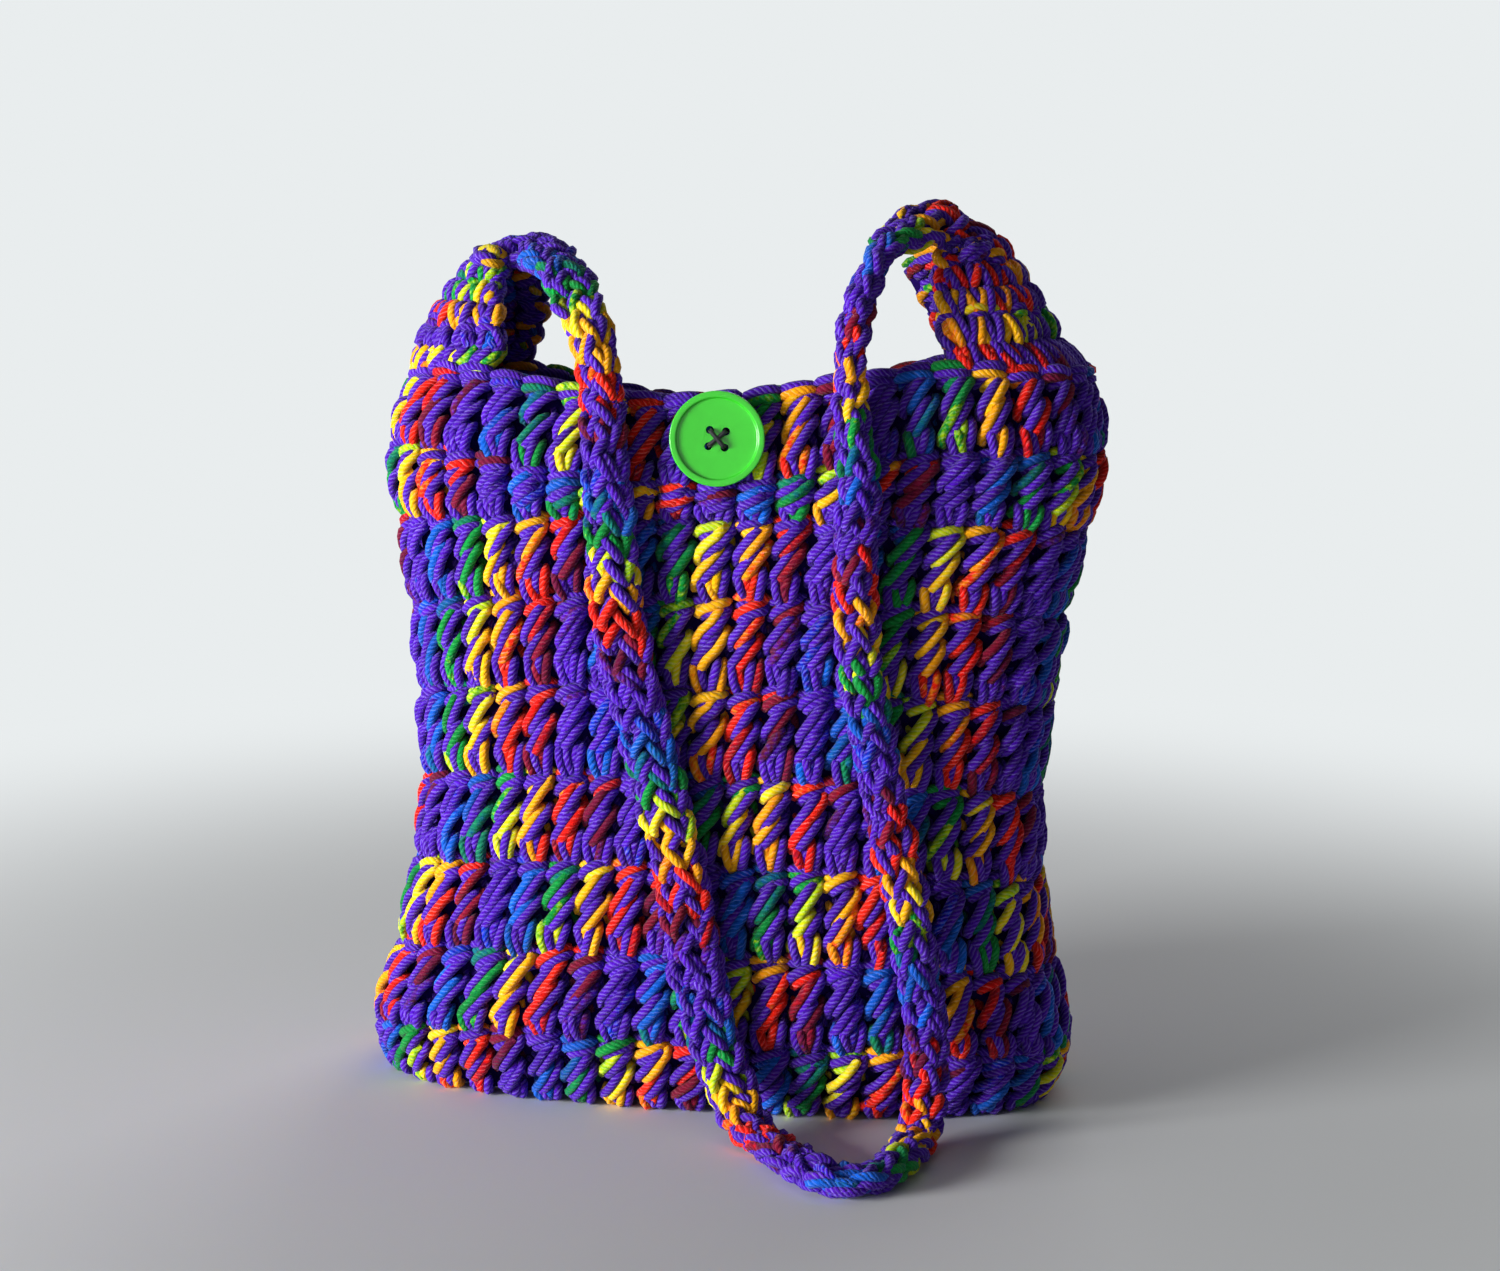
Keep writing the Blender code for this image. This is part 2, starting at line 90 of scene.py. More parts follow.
def smooth_between(values: Array, at: Array) -> Array:
    """Values at fractional indices, on one smooth curve through all of them.

    Args:
        values: One value or one row of values for each whole index.
        at: The fractional indices.

    Returns:
        The value or row at each index.
    """
    values, at = np.asarray(values, float), np.asarray(at, float)
    low = np.clip(np.floor(at).astype(int), 0, len(values) - 2)
    before, first = values[np.maximum(low - 1, 0)], values[low]
    second, after = values[low + 1], values[np.minimum(low + 2, len(values) - 1)]
    f = at - low
    if values.ndim > 1:
        f = f[..., None]
    slope_first, slope_second = (second - before) / 2, (after - first) / 2
    return (
        first * (2 * f**3 - 3 * f**2 + 1)
        + slope_first * (f**3 - 2 * f**2 + f)
        + second * (3 * f**2 - 2 * f**3)
        + slope_second * (f**3 - f**2)
    )


def unit(vectors: Array) -> Array:
    """The vectors at length one."""
    return vectors / np.maximum(np.linalg.norm(vectors, axis=-1, keepdims=True), 1e-12)


def run_along(points: Array) -> Array:
    """How far along its line each point lies. The last axis but one counts a line's points."""
    steps = np.linalg.norm(np.diff(points, axis=-2), axis=-1)
    return np.concatenate([np.zeros_like(steps[..., :1]), np.cumsum(steps, axis=-1)], axis=-1)


def linear(colour: str) -> tuple[float, float, float, float]:
    """Turns an sRGB hex colour, such as "#4A2CB4", into linear red, green, blue and alpha."""
    parts = [int(colour[k : k + 2], 16) / 255 for k in (1, 3, 5)]
    return (*(c / 12.92 if c <= 0.04045 else ((c + 0.055) / 1.055) ** 2.4 for c in parts), 1.0)


class Fabric(ABC):
    """A curved crocheted face that strands are laid on, with its own measure across and up it."""

    step = 0.05

    @abstractmethod
    def point(self, across: Array, up: Array) -> Array:
        """Points of the crests of the yarn."""

    def facing(self, across: Array, up: Array) -> Array:
        """The way the face looks, from how its points move across and up it.

        Args:
            across: Places across it.
            up: Places up it.

        Returns:
            One unit vector for each place.
        """
        along = self.point(across + self.step, up) - self.point(across - self.step, up)
        above = self.point(across, up + self.step) - self.point(across, up - self.step)
        return unit(np.cross(along, above))


@dataclass
class BodyForm(Fabric):
    """The form of the shell: rounds of tall stitches, numbered up from the floor. Stitch 0 is at
    the right end, a quarter of the round is the back and three quarters the front.

    A row of its edges tells the top of one round: its height at the front and at the ends, its
    width and its depth, as shares of the whole, and whether it sags with the mouth. The sag's
    middle lies a little left of the bag's. At the back the lower of the two rounds that share it
    sags half as deep. A search for a place on the front starts from this share of the round, and
    takes the bag's girth for so many widths."""

    width: float = 0.2750
    depth: float = 0.1240
    height: float = 0.2775
    stitches: int = 46
    wall: float = 0.009
    power: float = 2.75
    lean: float = 0.0120
    sag: float = 0.0125
    back_sag: float = 0.0192
    sag_middle: float = -0.0160
    sag_reach: float = 0.1050
    sag_bulge: float = 0.0050
    plan_steps: int = 2880
    search_from: float = 0.75
    search_girth: float = 2.2
    search_steps: int = 8
    search_reach: float = 3.0
    edges: tuple[tuple[float, ...], ...] = (
        (0.000, 0.000, 0.953, 0.887, 0.0),
        (0.099, 0.072, 1.000, 1.000, 0.0),
        (0.220, 0.187, 0.942, 0.968, 0.0),
        (0.341, 0.306, 0.898, 0.911, 0.0),
        (0.458, 0.422, 0.882, 0.863, 0.0),
        (0.577, 0.541, 0.896, 0.847, 0.0),
        (0.694, 0.663, 0.922, 0.855, 0.0),
        (0.800, 0.780, 0.964, 0.879, 0.0),
        (0.892, 0.883, 0.996, 0.839, 1.0),
        (1.000, 0.983, 0.945, 0.694, 1.0),
    )

    def __post_init__(self) -> None:
        """Shares the plan's outline out evenly among the stitches."""
        self.rounds = len(self.edges) - 1
        middle = self.edges[len(self.edges) // 2]
        fine = np.linspace(0, 2 * math.pi, self.plan_steps + 1)
        run = run_along(self.plan(fine, middle[2] * self.width, middle[3] * self.depth))
        self.angles = np.interp(np.linspace(0, run[-1], 2 * self.stitches + 1), run, fine)

    def plan(self, angle: Array, half_width: Array, half_depth: Array) -> Array:
        """Points of the rounded outline seen from above."""
        sizes = ((half_width, np.cos(angle)), (half_depth, np.sin(angle)))
        return np.stack([half * np.sign(c) * np.abs(c) ** (2 / self.power) for half, c in sizes], axis=-1)

    def angle(self, stitch: Array) -> Array:
        """The plan angle of each stitch."""
        turns, rest = np.divmod(2 * np.asarray(stitch, float), 2 * self.stitches)
        return np.interp(rest, np.arange(2 * self.stitches + 1), self.angles) + 2 * math.pi * turns

    def point(self, across: Array, up: Array, inset: float = 0.0) -> Array:
        """Points of the shell.

        Args:
            across: Stitches round the shell.
            up: Rounds up from the floor.
            inset: How far inside the crests, measured level.

        Returns:
            One point for each stitch and height.
        """
        across, up = np.broadcast_arrays(np.asarray(across, float), np.asarray(up, float))
        rows = smooth_between(np.array(self.edges), up)
        middle, side, width, depth, sagging = np.moveaxis(rows, -1, 0)
        width, depth = width * self.width / 2, depth * self.depth / 2
        angle = self.angle(across)
        x, y = np.moveaxis(self.plan(angle, width, depth), -1, 0)
        slopes = [
            np.sign(place) * np.abs(place / half) ** (self.power - 1) / half
            for place, half in ((x, width), (y, depth))
        ]
        away = (x - self.sag_middle) / self.sag_reach
        slack = sagging * np.maximum(0.0, 1 - away**2) ** 2
        level = np.stack([x, y + self.sag_bulge * slack * y / depth], axis=-1)
        level = level - inset * unit(np.stack(slopes, axis=-1))
        back_sag = self.back_sag * (1 + np.clip(up - self.rounds + 1, 0, 1)) / 2
        z = self.height * (side + (middle - side) * (y / depth) ** 2)
        z = z - slack * np.where(np.mod(angle, 2 * math.pi) > math.pi, self.sag, back_sag)
        return np.stack([level[..., 0] + self.lean * up / self.rounds, level[..., 1], z], axis=-1)

    def on_front(self, x: float, z: float) -> tuple[Array, Array]:
        """Finds a place on the front, by steps along its slopes from a first guess.

        Args:
            x: How far right it is.
            z: How high it is.

        Returns:
            Its point, and the way that the front faces there.
        """
        stitch = self.stitches * (self.search_from + x / (self.search_girth * self.width))
        height = self.rounds * z / self.height
        for _ in range(self.search_steps):
            point = self.point(stitch, height)
            along = (self.point(stitch + self.step, height) - point) / self.step
            above = (self.point(stitch, height + self.step) - point) / self.step
            slopes = np.array(((along[0], above[0]), (along[2], above[2])))
            moves = np.linalg.solve(slopes, (x - point[0], z - point[2]))
            stitch += float(np.clip(moves[0], -self.search_reach, self.search_reach))
            height = min(max(height + float(moves[1]), 0.0), float(self.rounds))
        return self.point(stitch, height), unit(np.cross(along, above))

    def tip(self, side: Side) -> float:
        """The stitch at one end of the bag."""
        return 0.0 if side is Side.RIGHT else self.stitches / 2

    def rim_end(self, side: Side) -> Array:
        """The middle of the rim's fabric at one end of the bag."""
        return self.point(self.tip(side), self.rounds, self.wall / 2)


@dataclass
class Inside(Fabric):
    """The inner face of a fabric, which looks the other way."""

    outer: Fabric
    thickness: float

    def point(self, across: Array, up: Array) -> Array:
        """Points of the inner face."""
        return self.outer.point(across, up) - self.thickness * self.outer.facing(across, up)

    def facing(self, across: Array, up: Array) -> Array:
        """The way the inner face looks."""
        return -self.outer.facing(across, up)


@dataclass(frozen=True)
class YarnFinish:
    """Medium acrylic yarn, spun of soft matt fibres and plied: it has fine slanting ridges, no
    gloss of its own and a faint pale sheen where its fuzz is seen edge on. The dyed yarn runs
    through these colours in order, again and again. Its plies lie at their real spacing. A fibre
    is some 0.02 mm thick and would not show, so the mottling is drawn as coarse as the tufts that
    the eye makes out. The grooves between the plies are painted darker, as painted shade, and the
    ridges' streaks paler and greyer, as a painted sheen. A strand's sides are painted darker than
    its top, as painted shade. Inside the stitches the yarn is painted near black, as painted
    shade, and has no sheen."""

    plain: str = "#5A38B0"
    # Painted shade: the yarn inside the stitches, which the core and the bag's floor wear, is painted near
    # black
    deep: str = "#120830"
    deep_fibre: str = "#2C1672"
    dyes: tuple[tuple[float, str], ...] = (
        (0.00, "#5430B0"),
        (0.11, "#522EAE"),
        (0.17, "#1C62D0"),
        (0.27, "#1850B2"),
        (0.32, "#0A6C60"),
        (0.36, "#0C8238"),
        (0.43, "#10903C"),
        (0.465, "#BEDE42"),
        (0.52, "#F8E352"),
        (0.555, "#FFBC18"),
        (0.67, "#FFA008"),
        (0.705, "#F22C1A"),
        (0.83, "#E41E1C"),
        (0.865, "#86142E"),
        (0.945, "#5C1038"),
        (0.98, "#5430B0"),
    )
    red_at: float = 0.775
    bleed: float = 0.10
    ply_spacing: float = 1.85 * MM
    ply_lines: int = 5
    ply_wobble: float = 2.5
    ply_depth: float = 0.30 * MM
    # Painted shade in the grooves between the plies
    ply_shade: float = 0.41
    # Painted shade down a strand's sides, and painted light on its top
    side_shade: float = 0.66
    top_shade: float = 0.46
    fibre_size: float = 0.40 * MM
    fibre_length: float = 3.5 * MM
    fibre_scale: float = 1.1
    fibre_shade: float = 1.55
    fibre_relief: float = 1.3
    tuft_size: float = 2.4 * MM
    tuft_shade: float = 0.55
    strand_apart: float = 7.0
    strand_shade: float = 0.16
    shade_from: float = -0.17
    vividness: float = 1.19
    painted_sheen_pallor: float = 0.50
    bright_value: float = 0.98
    bright_evenness: float = 1.25
    bright_relief: float = 0.40
    detail: float = 2.0
    roughness: float = 0.88
    specular: float = 0.18
    sheen: float = 0.10
    sheen_roughness: float = 0.45


@dataclass(frozen=True)
class ButtonFinish:
    """Polyester button plastic, cast and tumbled: an even green with the faintest flow marks,
    and glossy."""

    colour: str = "#3CD42C"
    shade: str = "#34C424"
    flow: float = 9.0 * MM
    flow_detail: float = 3.0
    flow_bend: float = 1.5
    grain: float = 1.2 * MM
    grain_detail: float = 4.0
    roughness: float = 0.26
    ior: float = 1.54
    coat: float = 0.22
    coat_roughness: float = 0.12
    bump: float = 0.02 * MM
    bump_strength: float = 0.5


@dataclass(frozen=True)
class ThreadFinish:
    """Sewing thread of two tight plies, which is darker and a little shinier than the yarn, with a
    slanting ridge at each turn of its twist. The grooves between the ridges are painted darker,
    as painted shade."""

    colour: str = "#17121E"
    groove_shade: str = "#0A070E"
    twist: float = 0.45 * MM
    depth: float = 0.08 * MM
    bump_strength: float = 0.8
    roughness: float = 0.6


@dataclass(frozen=True)
class FloorFinish:
    """A pale matt studio floor, which fades far out into a backdrop of its own paleness."""

    colour: str = "#E6E8E9"
    backdrop: str = "#E9EDEE"
    fade: tuple[float, float] = (0.20, 0.85)
    roughness: float = 0.9


def add_node(tree: NodeTree, kind: str, links: dict | None = None, **settings: object) -> Node:
    """Adds one node with its settings and links.

    Args:
        tree: The node tree it goes into.
        kind: Its Blender type, without the ShaderNode before it.
        links: What feeds each of its inputs: a node's first output, another output, or a value.
        settings: Its own properties.

    Returns:
        The node.
    """
    node = tree.nodes.new(f"ShaderNode{kind}")
    for name, value in settings.items():
        setattr(node, name, value)
    for name, value in (links or {}).items():
        source = value.outputs[0] if isinstance(value, Node) else value
        if isinstance(source, NodeSocket):
            tree.links.new(source, node.inputs[name])
        else:
            node.inputs[name].default_value = source
    return node


def new_material(name: str, **constants: float) -> tuple[Material, Node]:
    """Makes a material, with its constants on its shader's own sockets.

    Args:
        name: Its name.
        constants: The sockets' values, by their names in small letters and underlines.

    Returns:
        The material and its shader.
    """
    material = bpy.data.materials.new(name)
    material.use_nodes = True
    shader = material.node_tree.nodes["Principled BSDF"]
    for socket in shader.inputs:
        value = constants.get(socket.name.lower().replace(" ", "_"))
        if value is not None:
            socket.default_value = value
    return material, shader


def shaded_inner_yarn_material(finish: YarnFinish) -> Material:
    """Dresses the plain yarn where it lies inside the stitches, in colours painted near black as painted
    shade.

    Args:
        finish: The yarn's colours and fibres.

    Returns:
        The material.
    """
    material, shader = new_material("acrylic_yarn_inside", roughness=1.0, specular_ior_level=0.0)
    tree = material.node_tree
    place = add_node(tree, "TexCoord").outputs["Object"]
    settings = {"Vector": place, "Scale": 1 / finish.fibre_size, "Detail": finish.detail}
    fibre = add_node(tree, "TexNoise", settings)
    # Painted shade: two near-black purples for the yarn inside the stitches
    shades = {0: fibre, COLOUR_A: linear(finish.deep), COLOUR_B: linear(finish.deep_fibre)}
    colour = add_node(tree, "Mix", shades, data_type="RGBA")
    tree.links.new(colour.outputs[COLOUR_OUT], shader.inputs["Base Color"])
    return material


def yarn_material(finish: YarnFinish) -> Material:
    """Dresses the two yarns, told apart by an attribute of their strands.

    Args:
        finish: The yarn's colours and twist.

    Returns:
        The material. It reads the strands' own UV map, along in metres and round in turns.
    """
    material, shader = new_material(
        "acrylic_yarn",
        roughness=finish.roughness,
        specular_ior_level=finish.specular,
        sheen_weight=finish.sheen,
        sheen_roughness=finish.sheen_roughness,
    )
    tree = material.node_tree
    place = add_node(tree, "TexCoord")
    uv = add_node(tree, "SeparateXYZ", {0: place.outputs["UV"]})
    along, around = uv.outputs["X"], uv.outputs["Y"]
    dye, plain, tone = (
        add_node(tree, "Attribute", attribute_name=mark).outputs["Fac"] for mark in ("dye", "plain", "tone")
    )
    settings = {"Vector": place.outputs["Object"], "Detail": finish.detail}
    tuft = add_node(tree, "TexNoise", {**settings, "Scale": 1 / finish.tuft_size})
    fibre = add_node(tree, "TexNoise", {**settings, "Scale": 1 / finish.fibre_size})
    # The colour: the dyes bleed a little where they meet
    bleed = add_node(tree, "Math", {0: tuft, 1: finish.bleed, 2: -finish.bleed / 2}, operation="MULTIPLY_ADD")
    bled = add_node(tree, "Math", {0: dye, 1: bleed})
    wrapped = add_node(tree, "Math", {0: bled}, operation="FRACT")
    ramp = add_node(tree, "ValToRGB", {"Fac": wrapped})
    stops = ramp.color_ramp.elements
    for k, (at, colour) in enumerate(finish.dyes):
        stop = stops[k] if k < 2 else stops.new(at)
        stop.position = at
        stop.color = linear(colour)
    kinds = {0: plain, COLOUR_A: ramp, COLOUR_B: linear(finish.plain)}
    colour = add_node(tree, "Mix", kinds, data_type="RGBA").outputs[COLOUR_OUT]
    # The plies, which wind round the strand, and the fibres that lie along them
    phase = 0.0
    for source, share in (
        (around, math.pi * finish.ply_lines),
        (tuft, finish.ply_wobble),
        (along, math.pi / finish.ply_spacing),
    ):
        phase = add_node(tree, "Math", {0: source, 1: share, 2: phase}, operation="MULTIPLY_ADD")
    wave = add_node(tree, "Math", {0: phase}, operation="SINE")
    plies = add_node(tree, "Math", {0: wave, 1: wave}, operation="MULTIPLY")
    lengthwise = add_node(tree, "Math", {0: along, 1: 1 / finish.fibre_length}, operation="MULTIPLY")
    apart = add_node(tree, "Math", {0: tone, 1: finish.strand_apart}, operation="MULTIPLY")
    laid = add_node(tree, "CombineXYZ", {"X": phase, "Y": lengthwise, "Z": apart})
    streaks = {"Vector": laid, "Scale": finish.fibre_scale, "Detail": finish.detail}
    streak = add_node(tree, "TexNoise", streaks)
    # The light and dark of it: random tones and streaks, and painted shade in the ply grooves, which a
    # bright dye shows less, and painted shade down the strand's sides
    shade = finish.shade_from
    for source, share in (
        (tone, finish.strand_shade),
        (tuft, finish.tuft_shade),
        (streak, finish.fibre_shade),
        (plies, finish.ply_shade),
    ):
        shade = add_node(tree, "Math", {0: source, 1: share, 2: shade}, operation="MULTIPLY_ADD")
    paleness = add_node(tree, "RGBToBW", {"Color": colour})
    evenness = add_node(
        tree, "Math", {0: paleness, 1: finish.bright_evenness}, operation="MULTIPLY", use_clamp=True
    )
    lit = add_node(tree, "Mix", {0: evenness, NUMBER_A: shade, NUMBER_B: finish.bright_value})
    # Painted shade: the colour is darker down the strand's sides than on its top, by which way each point of
    # the tube faces
    turn = add_node(tree, "Math", {0: around, 1: 2 * math.pi}, operation="MULTIPLY")
    outward = add_node(tree, "Math", {0: turn}, operation="SINE", use_clamp=True)
    sides = {0: outward, 1: finish.top_shade, 2: finish.side_shade}
    rounded = add_node(tree, "Math", sides, operation="MULTIPLY_ADD")
    side_shaded = add_node(tree, "Math", {0: lit, 1: rounded}, operation="MULTIPLY")
    # Painted sheen: the streaks on the ply ridges are painted paler and less saturated
    fuzz = add_node(tree, "Math", {0: streak, 1: plies}, operation="MULTIPLY")
    pallor = {0: fuzz, 1: -finish.painted_sheen_pallor, 2: finish.vividness}
    sheen_paled = add_node(tree, "Math", pallor, operation="MULTIPLY_ADD")
    shaded = add_node(tree, "HueSaturation", {"Color": colour, "Value": side_shaded, "Saturation": sheen_paled})
    tree.links.new(shaded.outputs["Color"], shader.inputs["Base Color"])
    rough = add_node(tree, "Math", {0: fibre, 1: finish.fibre_relief, 2: plies}, operation="MULTIPLY_ADD")
    flatter = {0: evenness, 1: finish.bright_relief - 1, 2: 1.0}
    relief = add_node(tree, "Math", flatter, operation="MULTIPLY_ADD")
    bump = add_node(tree, "Bump", {"Height": rough, "Distance": finish.ply_depth, "Strength": relief})
    tree.links.new(bump.outputs["Normal"], shader.inputs["Normal"])
    return material


def button_material(finish: ButtonFinish) -> Material:
    """Dresses the button.

    Args:
        finish: Its colours and gloss.

    Returns:
        The material.
    """
    material, shader = new_material(
        "cast_polyester",
        roughness=finish.roughness,
        ior=finish.ior,
        coat_weight=finish.coat,
        coat_roughness=finish.coat_roughness,
    )
    tree = material.node_tree
    place = add_node(tree, "TexCoord").outputs["Object"]
    marks = {"Vector": place, "Scale": 1 / finish.flow, "Detail": finish.flow_detail}
    flow = add_node(tree, "TexNoise", {**marks, "Distortion": finish.flow_bend})
    shades = {0: flow, COLOUR_A: linear(finish.shade), COLOUR_B: linear(finish.colour)}
    colour = add_node(tree, "Mix", shades, data_type="RGBA")
    tree.links.new(colour.outputs[COLOUR_OUT], shader.inputs["Base Color"])
    marks = {"Vector": place, "Scale": 1 / finish.grain, "Detail": finish.grain_detail}
    relief = {"Height": add_node(tree, "TexNoise", marks), "Distance": finish.bump}
    bump = add_node(tree, "Bump", {**relief, "Strength": finish.bump_strength})
    tree.links.new(bump.outputs["Normal"], shader.inputs["Normal"])
    return material


def thread_material(finish: ThreadFinish) -> Material:
    """Dresses the sewing thread.

    Args:
        finish: Its colour and twist.

    Returns:
        The material. It reads the strands' own UV map.
    """
    material, shader = new_material("sewing_thread", roughness=finish.roughness)
    tree = material.node_tree
    uv = add_node(tree, "SeparateXYZ", {0: add_node(tree, "TexCoord").outputs["UV"]})
    around = add_node(tree, "Math", {0: uv.outputs["Y"], 1: 2 * math.pi}, operation="MULTIPLY")
    twist = {0: uv.outputs["X"], 1: math.pi / finish.twist, 2: around}
    phase = add_node(tree, "Math", twist, operation="MULTIPLY_ADD")
    wave = add_node(tree, "Math", {0: phase}, operation="SINE")
    plies = add_node(tree, "Math", {0: wave}, operation="ABSOLUTE")
    # Painted shade: the grooves of the twist are painted darker than its ridges
    shades = {0: plies, COLOUR_A: linear(finish.groove_shade), COLOUR_B: linear(finish.colour)}
    colour = add_node(tree, "Mix", shades, data_type="RGBA")
    tree.links.new(colour.outputs[COLOUR_OUT], shader.inputs["Base Color"])
    relief = {"Height": plies, "Distance": finish.depth, "Strength": finish.bump_strength}
    bump = add_node(tree, "Bump", relief)
    tree.links.new(bump.outputs["Normal"], shader.inputs["Normal"])
    return material


def dress(piece: Object, material: Material, part: Part) -> Object:
    """Gives a piece its material and its body, and hides the node that it stands for.

    Args:
        piece: The piece.
        material: What it is made of.
        part: What it stands for.

    Returns:
        The piece.
    """
    replaced, slot = part.value
    piece.data.materials.clear()
    piece.data.materials.append(material)
    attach(piece, BODY)
    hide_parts(replaced)
    LOG.info("%s: %d faces", piece.name, len(piece.data.polygons))
    return piece


def add_piece(mesh: Mesh, material: Material, part: Part) -> Object:
    """Makes a smooth, dressed piece of a mesh.

    Args:
        mesh: Its mesh, by its own name.
        material: What it is made of.
        part: What it stands for.

    Returns:
        The piece.
    """
    mesh.shade_smooth()
    piece = bpy.data.objects.new(mesh.name, mesh)
    bpy.context.scene.collection.objects.link(piece)
    return dress(piece, material, part)


def backing_piece(name: str, rings: list[Array], material: Material, part: Part) -> Object:
    """The plain yarn behind the strands: a closed skin over rings of points.

    Args:
        name: Its name.
        rings: Rings of as many points each, which run the way that the strands' cells do.
        material: The yarn.
        part: What it stands for.

    Returns:
        The piece.
    """
    across, last = len(rings[0]), len(rings) - 1
    faces = [
        (low + i, low + (i + 1) % across, low + across + (i + 1) % across, low + across + i)
        for low in range(0, last * across, across)
        for i in range(across)
    ]
    faces.append(tuple(range(across))[::-1])
    faces.append(tuple(last * across + i for i in range(across)))
    mesh = bpy.data.meshes.new(name)
    mesh.from_pydata(np.concatenate(rings).tolist(), [], faces)
    mesh.uv_layers.new(name="UVMap")
    return add_piece(mesh, material, part)


@dataclass
class Strands:
    """Strands of yarn gathered into one piece. Each is a round tube, which tapers to this share
    of its radius at its closed ends. Its twist starts anywhere within this run."""

    name: str
    part: Part
    sides: int = 6
    taper: float = 0.45
    start: float = 20.0 * MM
    points: list[Array] = field(default_factory=list)
    quads: list[Array] = field(default_factory=list)
    caps: list[Array] = field(default_factory=list)
    uvs: list[Array] = field(default_factory=list)
    cap_uvs: list[Array] = field(default_factory=list)
    marks: dict[str, list] = field(default_factory=lambda: {"dye": [], "plain": [], "tone": []})
    count: int = 0

    def add(
        self, paths: Array, ups: Array, radius: Array, dye: Array, kind: Dye, rng: Generator
    ) -> None:
        """Adds strands of as many points each.

        Args:
            paths: The middle lines, as strand by point by 3.
            ups: A direction off the middle line at each point, such as the fabric's facing.
            radius: The radius at each point, or one for all.
            dye: The place in the run of dyes at each point.
            kind: Which yarn they are.
            rng: Draws each strand's tone and the start of its twist.
        """
        strands, length, _ = paths.shape
        here = np.arange(self.sides)
        turn = 2 * math.pi * (here / self.sides)[:, None]
        tangent = unit(np.gradient(paths, axis=1))
        side = unit(np.cross(tangent, ups))
        top = np.cross(side, tangent)
        radius = np.broadcast_to(radius, (strands, length)).copy()
        radius[:, (0, -1)] *= self.taper
        ring = side[:, :, None] * np.cos(turn) + top[:, :, None] * np.sin(turn)
        points = paths[:, :, None] + ring * radius[:, :, None, None]
        self.points.append(points.reshape(-1, 3))
        first = self.count + np.arange(strands)[:, None, None] * length * self.sides
        low = first + np.arange(length - 1)[None, :, None] * self.sides
        high, after = low + self.sides, (here + 1) % self.sides
        quads = np.stack([low + here, low + after, high + after, high + here], axis=-1)
        self.quads.append(quads.reshape(-1, 4))
        self.caps += [first[:, 0] + here[::-1], first[:, 0] + (length - 1) * self.sides + here]
        run = run_along(paths) + rng.random((strands, 1)) * self.start
        near, far = run[:, :-1, None], run[:, 1:, None]
        corners = [
            np.stack(np.broadcast_arrays(along, (here + k) / self.sides), axis=-1)
            for along, k in ((near, 0), (near, 1), (far, 1), (far, 0))
        ]
        self.uvs.append(np.stack(corners, axis=-2).reshape(-1, 2))
        for k, around in ((0, here[::-1]), (-1, here)):
            corner = np.broadcast_arrays(run[:, k, None], around / self.sides)
            self.cap_uvs.append(np.stack(corner, axis=-1).reshape(-1, 2))
        tone = rng.random((strands, 1)) * 2 - 1
        for mark, value in (("dye", dye), ("plain", kind.value), ("tone", tone)):
            spread = np.broadcast_to(value, (strands, length))
            self.marks[mark].append(np.repeat(spread.reshape(-1), self.sides))
        self.count += strands * length * self.sides

    def build(self, material: Material) -> Object:
        """Makes the piece.

        Args:
            material: Its yarn.

        Returns:
            The piece, riding on the body.
        """
        points = np.concatenate(self.points)
        quads, caps = np.concatenate(self.quads), np.concatenate(self.caps)
        corners = np.concatenate([quads.reshape(-1), caps.reshape(-1)])
        sizes = np.concatenate([np.full(len(quads), 4), np.full(len(caps), self.sides)])
        starts = np.concatenate([[0], np.cumsum(sizes)[:-1]])
        mesh = bpy.data.meshes.new(self.name)
        mesh.vertices.add(len(points))
        mesh.vertices.foreach_set("co", points.reshape(-1))
        mesh.loops.add(len(corners))
        mesh.loops.foreach_set("vertex_index", corners.astype(np.int32))
        mesh.polygons.add(len(sizes))
        mesh.polygons.foreach_set("loop_start", starts.astype(np.int32))
        mesh.update(calc_edges=True)
        uv = mesh.uv_layers.new(name="UVMap")
        uv.data.foreach_set("uv", np.concatenate(self.uvs + self.cap_uvs).reshape(-1))
        for mark, values in self.marks.items():
            attribute = mesh.attributes.new(mark, "FLOAT", "POINT")
            attribute.data.foreach_set("value", np.concatenate(values).astype(np.float32))
        mesh.validate()
        return add_piece(mesh, material, self.part)


@dataclass(frozen=True)
class Path:
    """One run of the pair of strands through a stitch: its places across and up the stitch, in
    stitches and rows from the stitch's middle and from where the run starts, and their height
    off the crests in millimetres. Its curve through them has so many points more than places."""

    across: tuple[float, ...]
    up: tuple[float, ...]
    height: tuple[float, ...]
    start: float = 0.0
    extra: int = 2
    dye_shift: float = 0.0
    slack: float = 1.0

    def run(self) -> Array:
        """The points of its curve."""
        places = np.stack([self.across, np.add(self.start, self.up), self.height], axis=-1)
        return smooth_between(places, np.linspace(0, len(places) - 1, len(places) + self.extra))


@dataclass
class Cells:
    """The stitches of one row: their middles across, their feet, and their size."""

    middle: Array
    foot: Array
    wide: Array
    tall: Array
    dye: Array


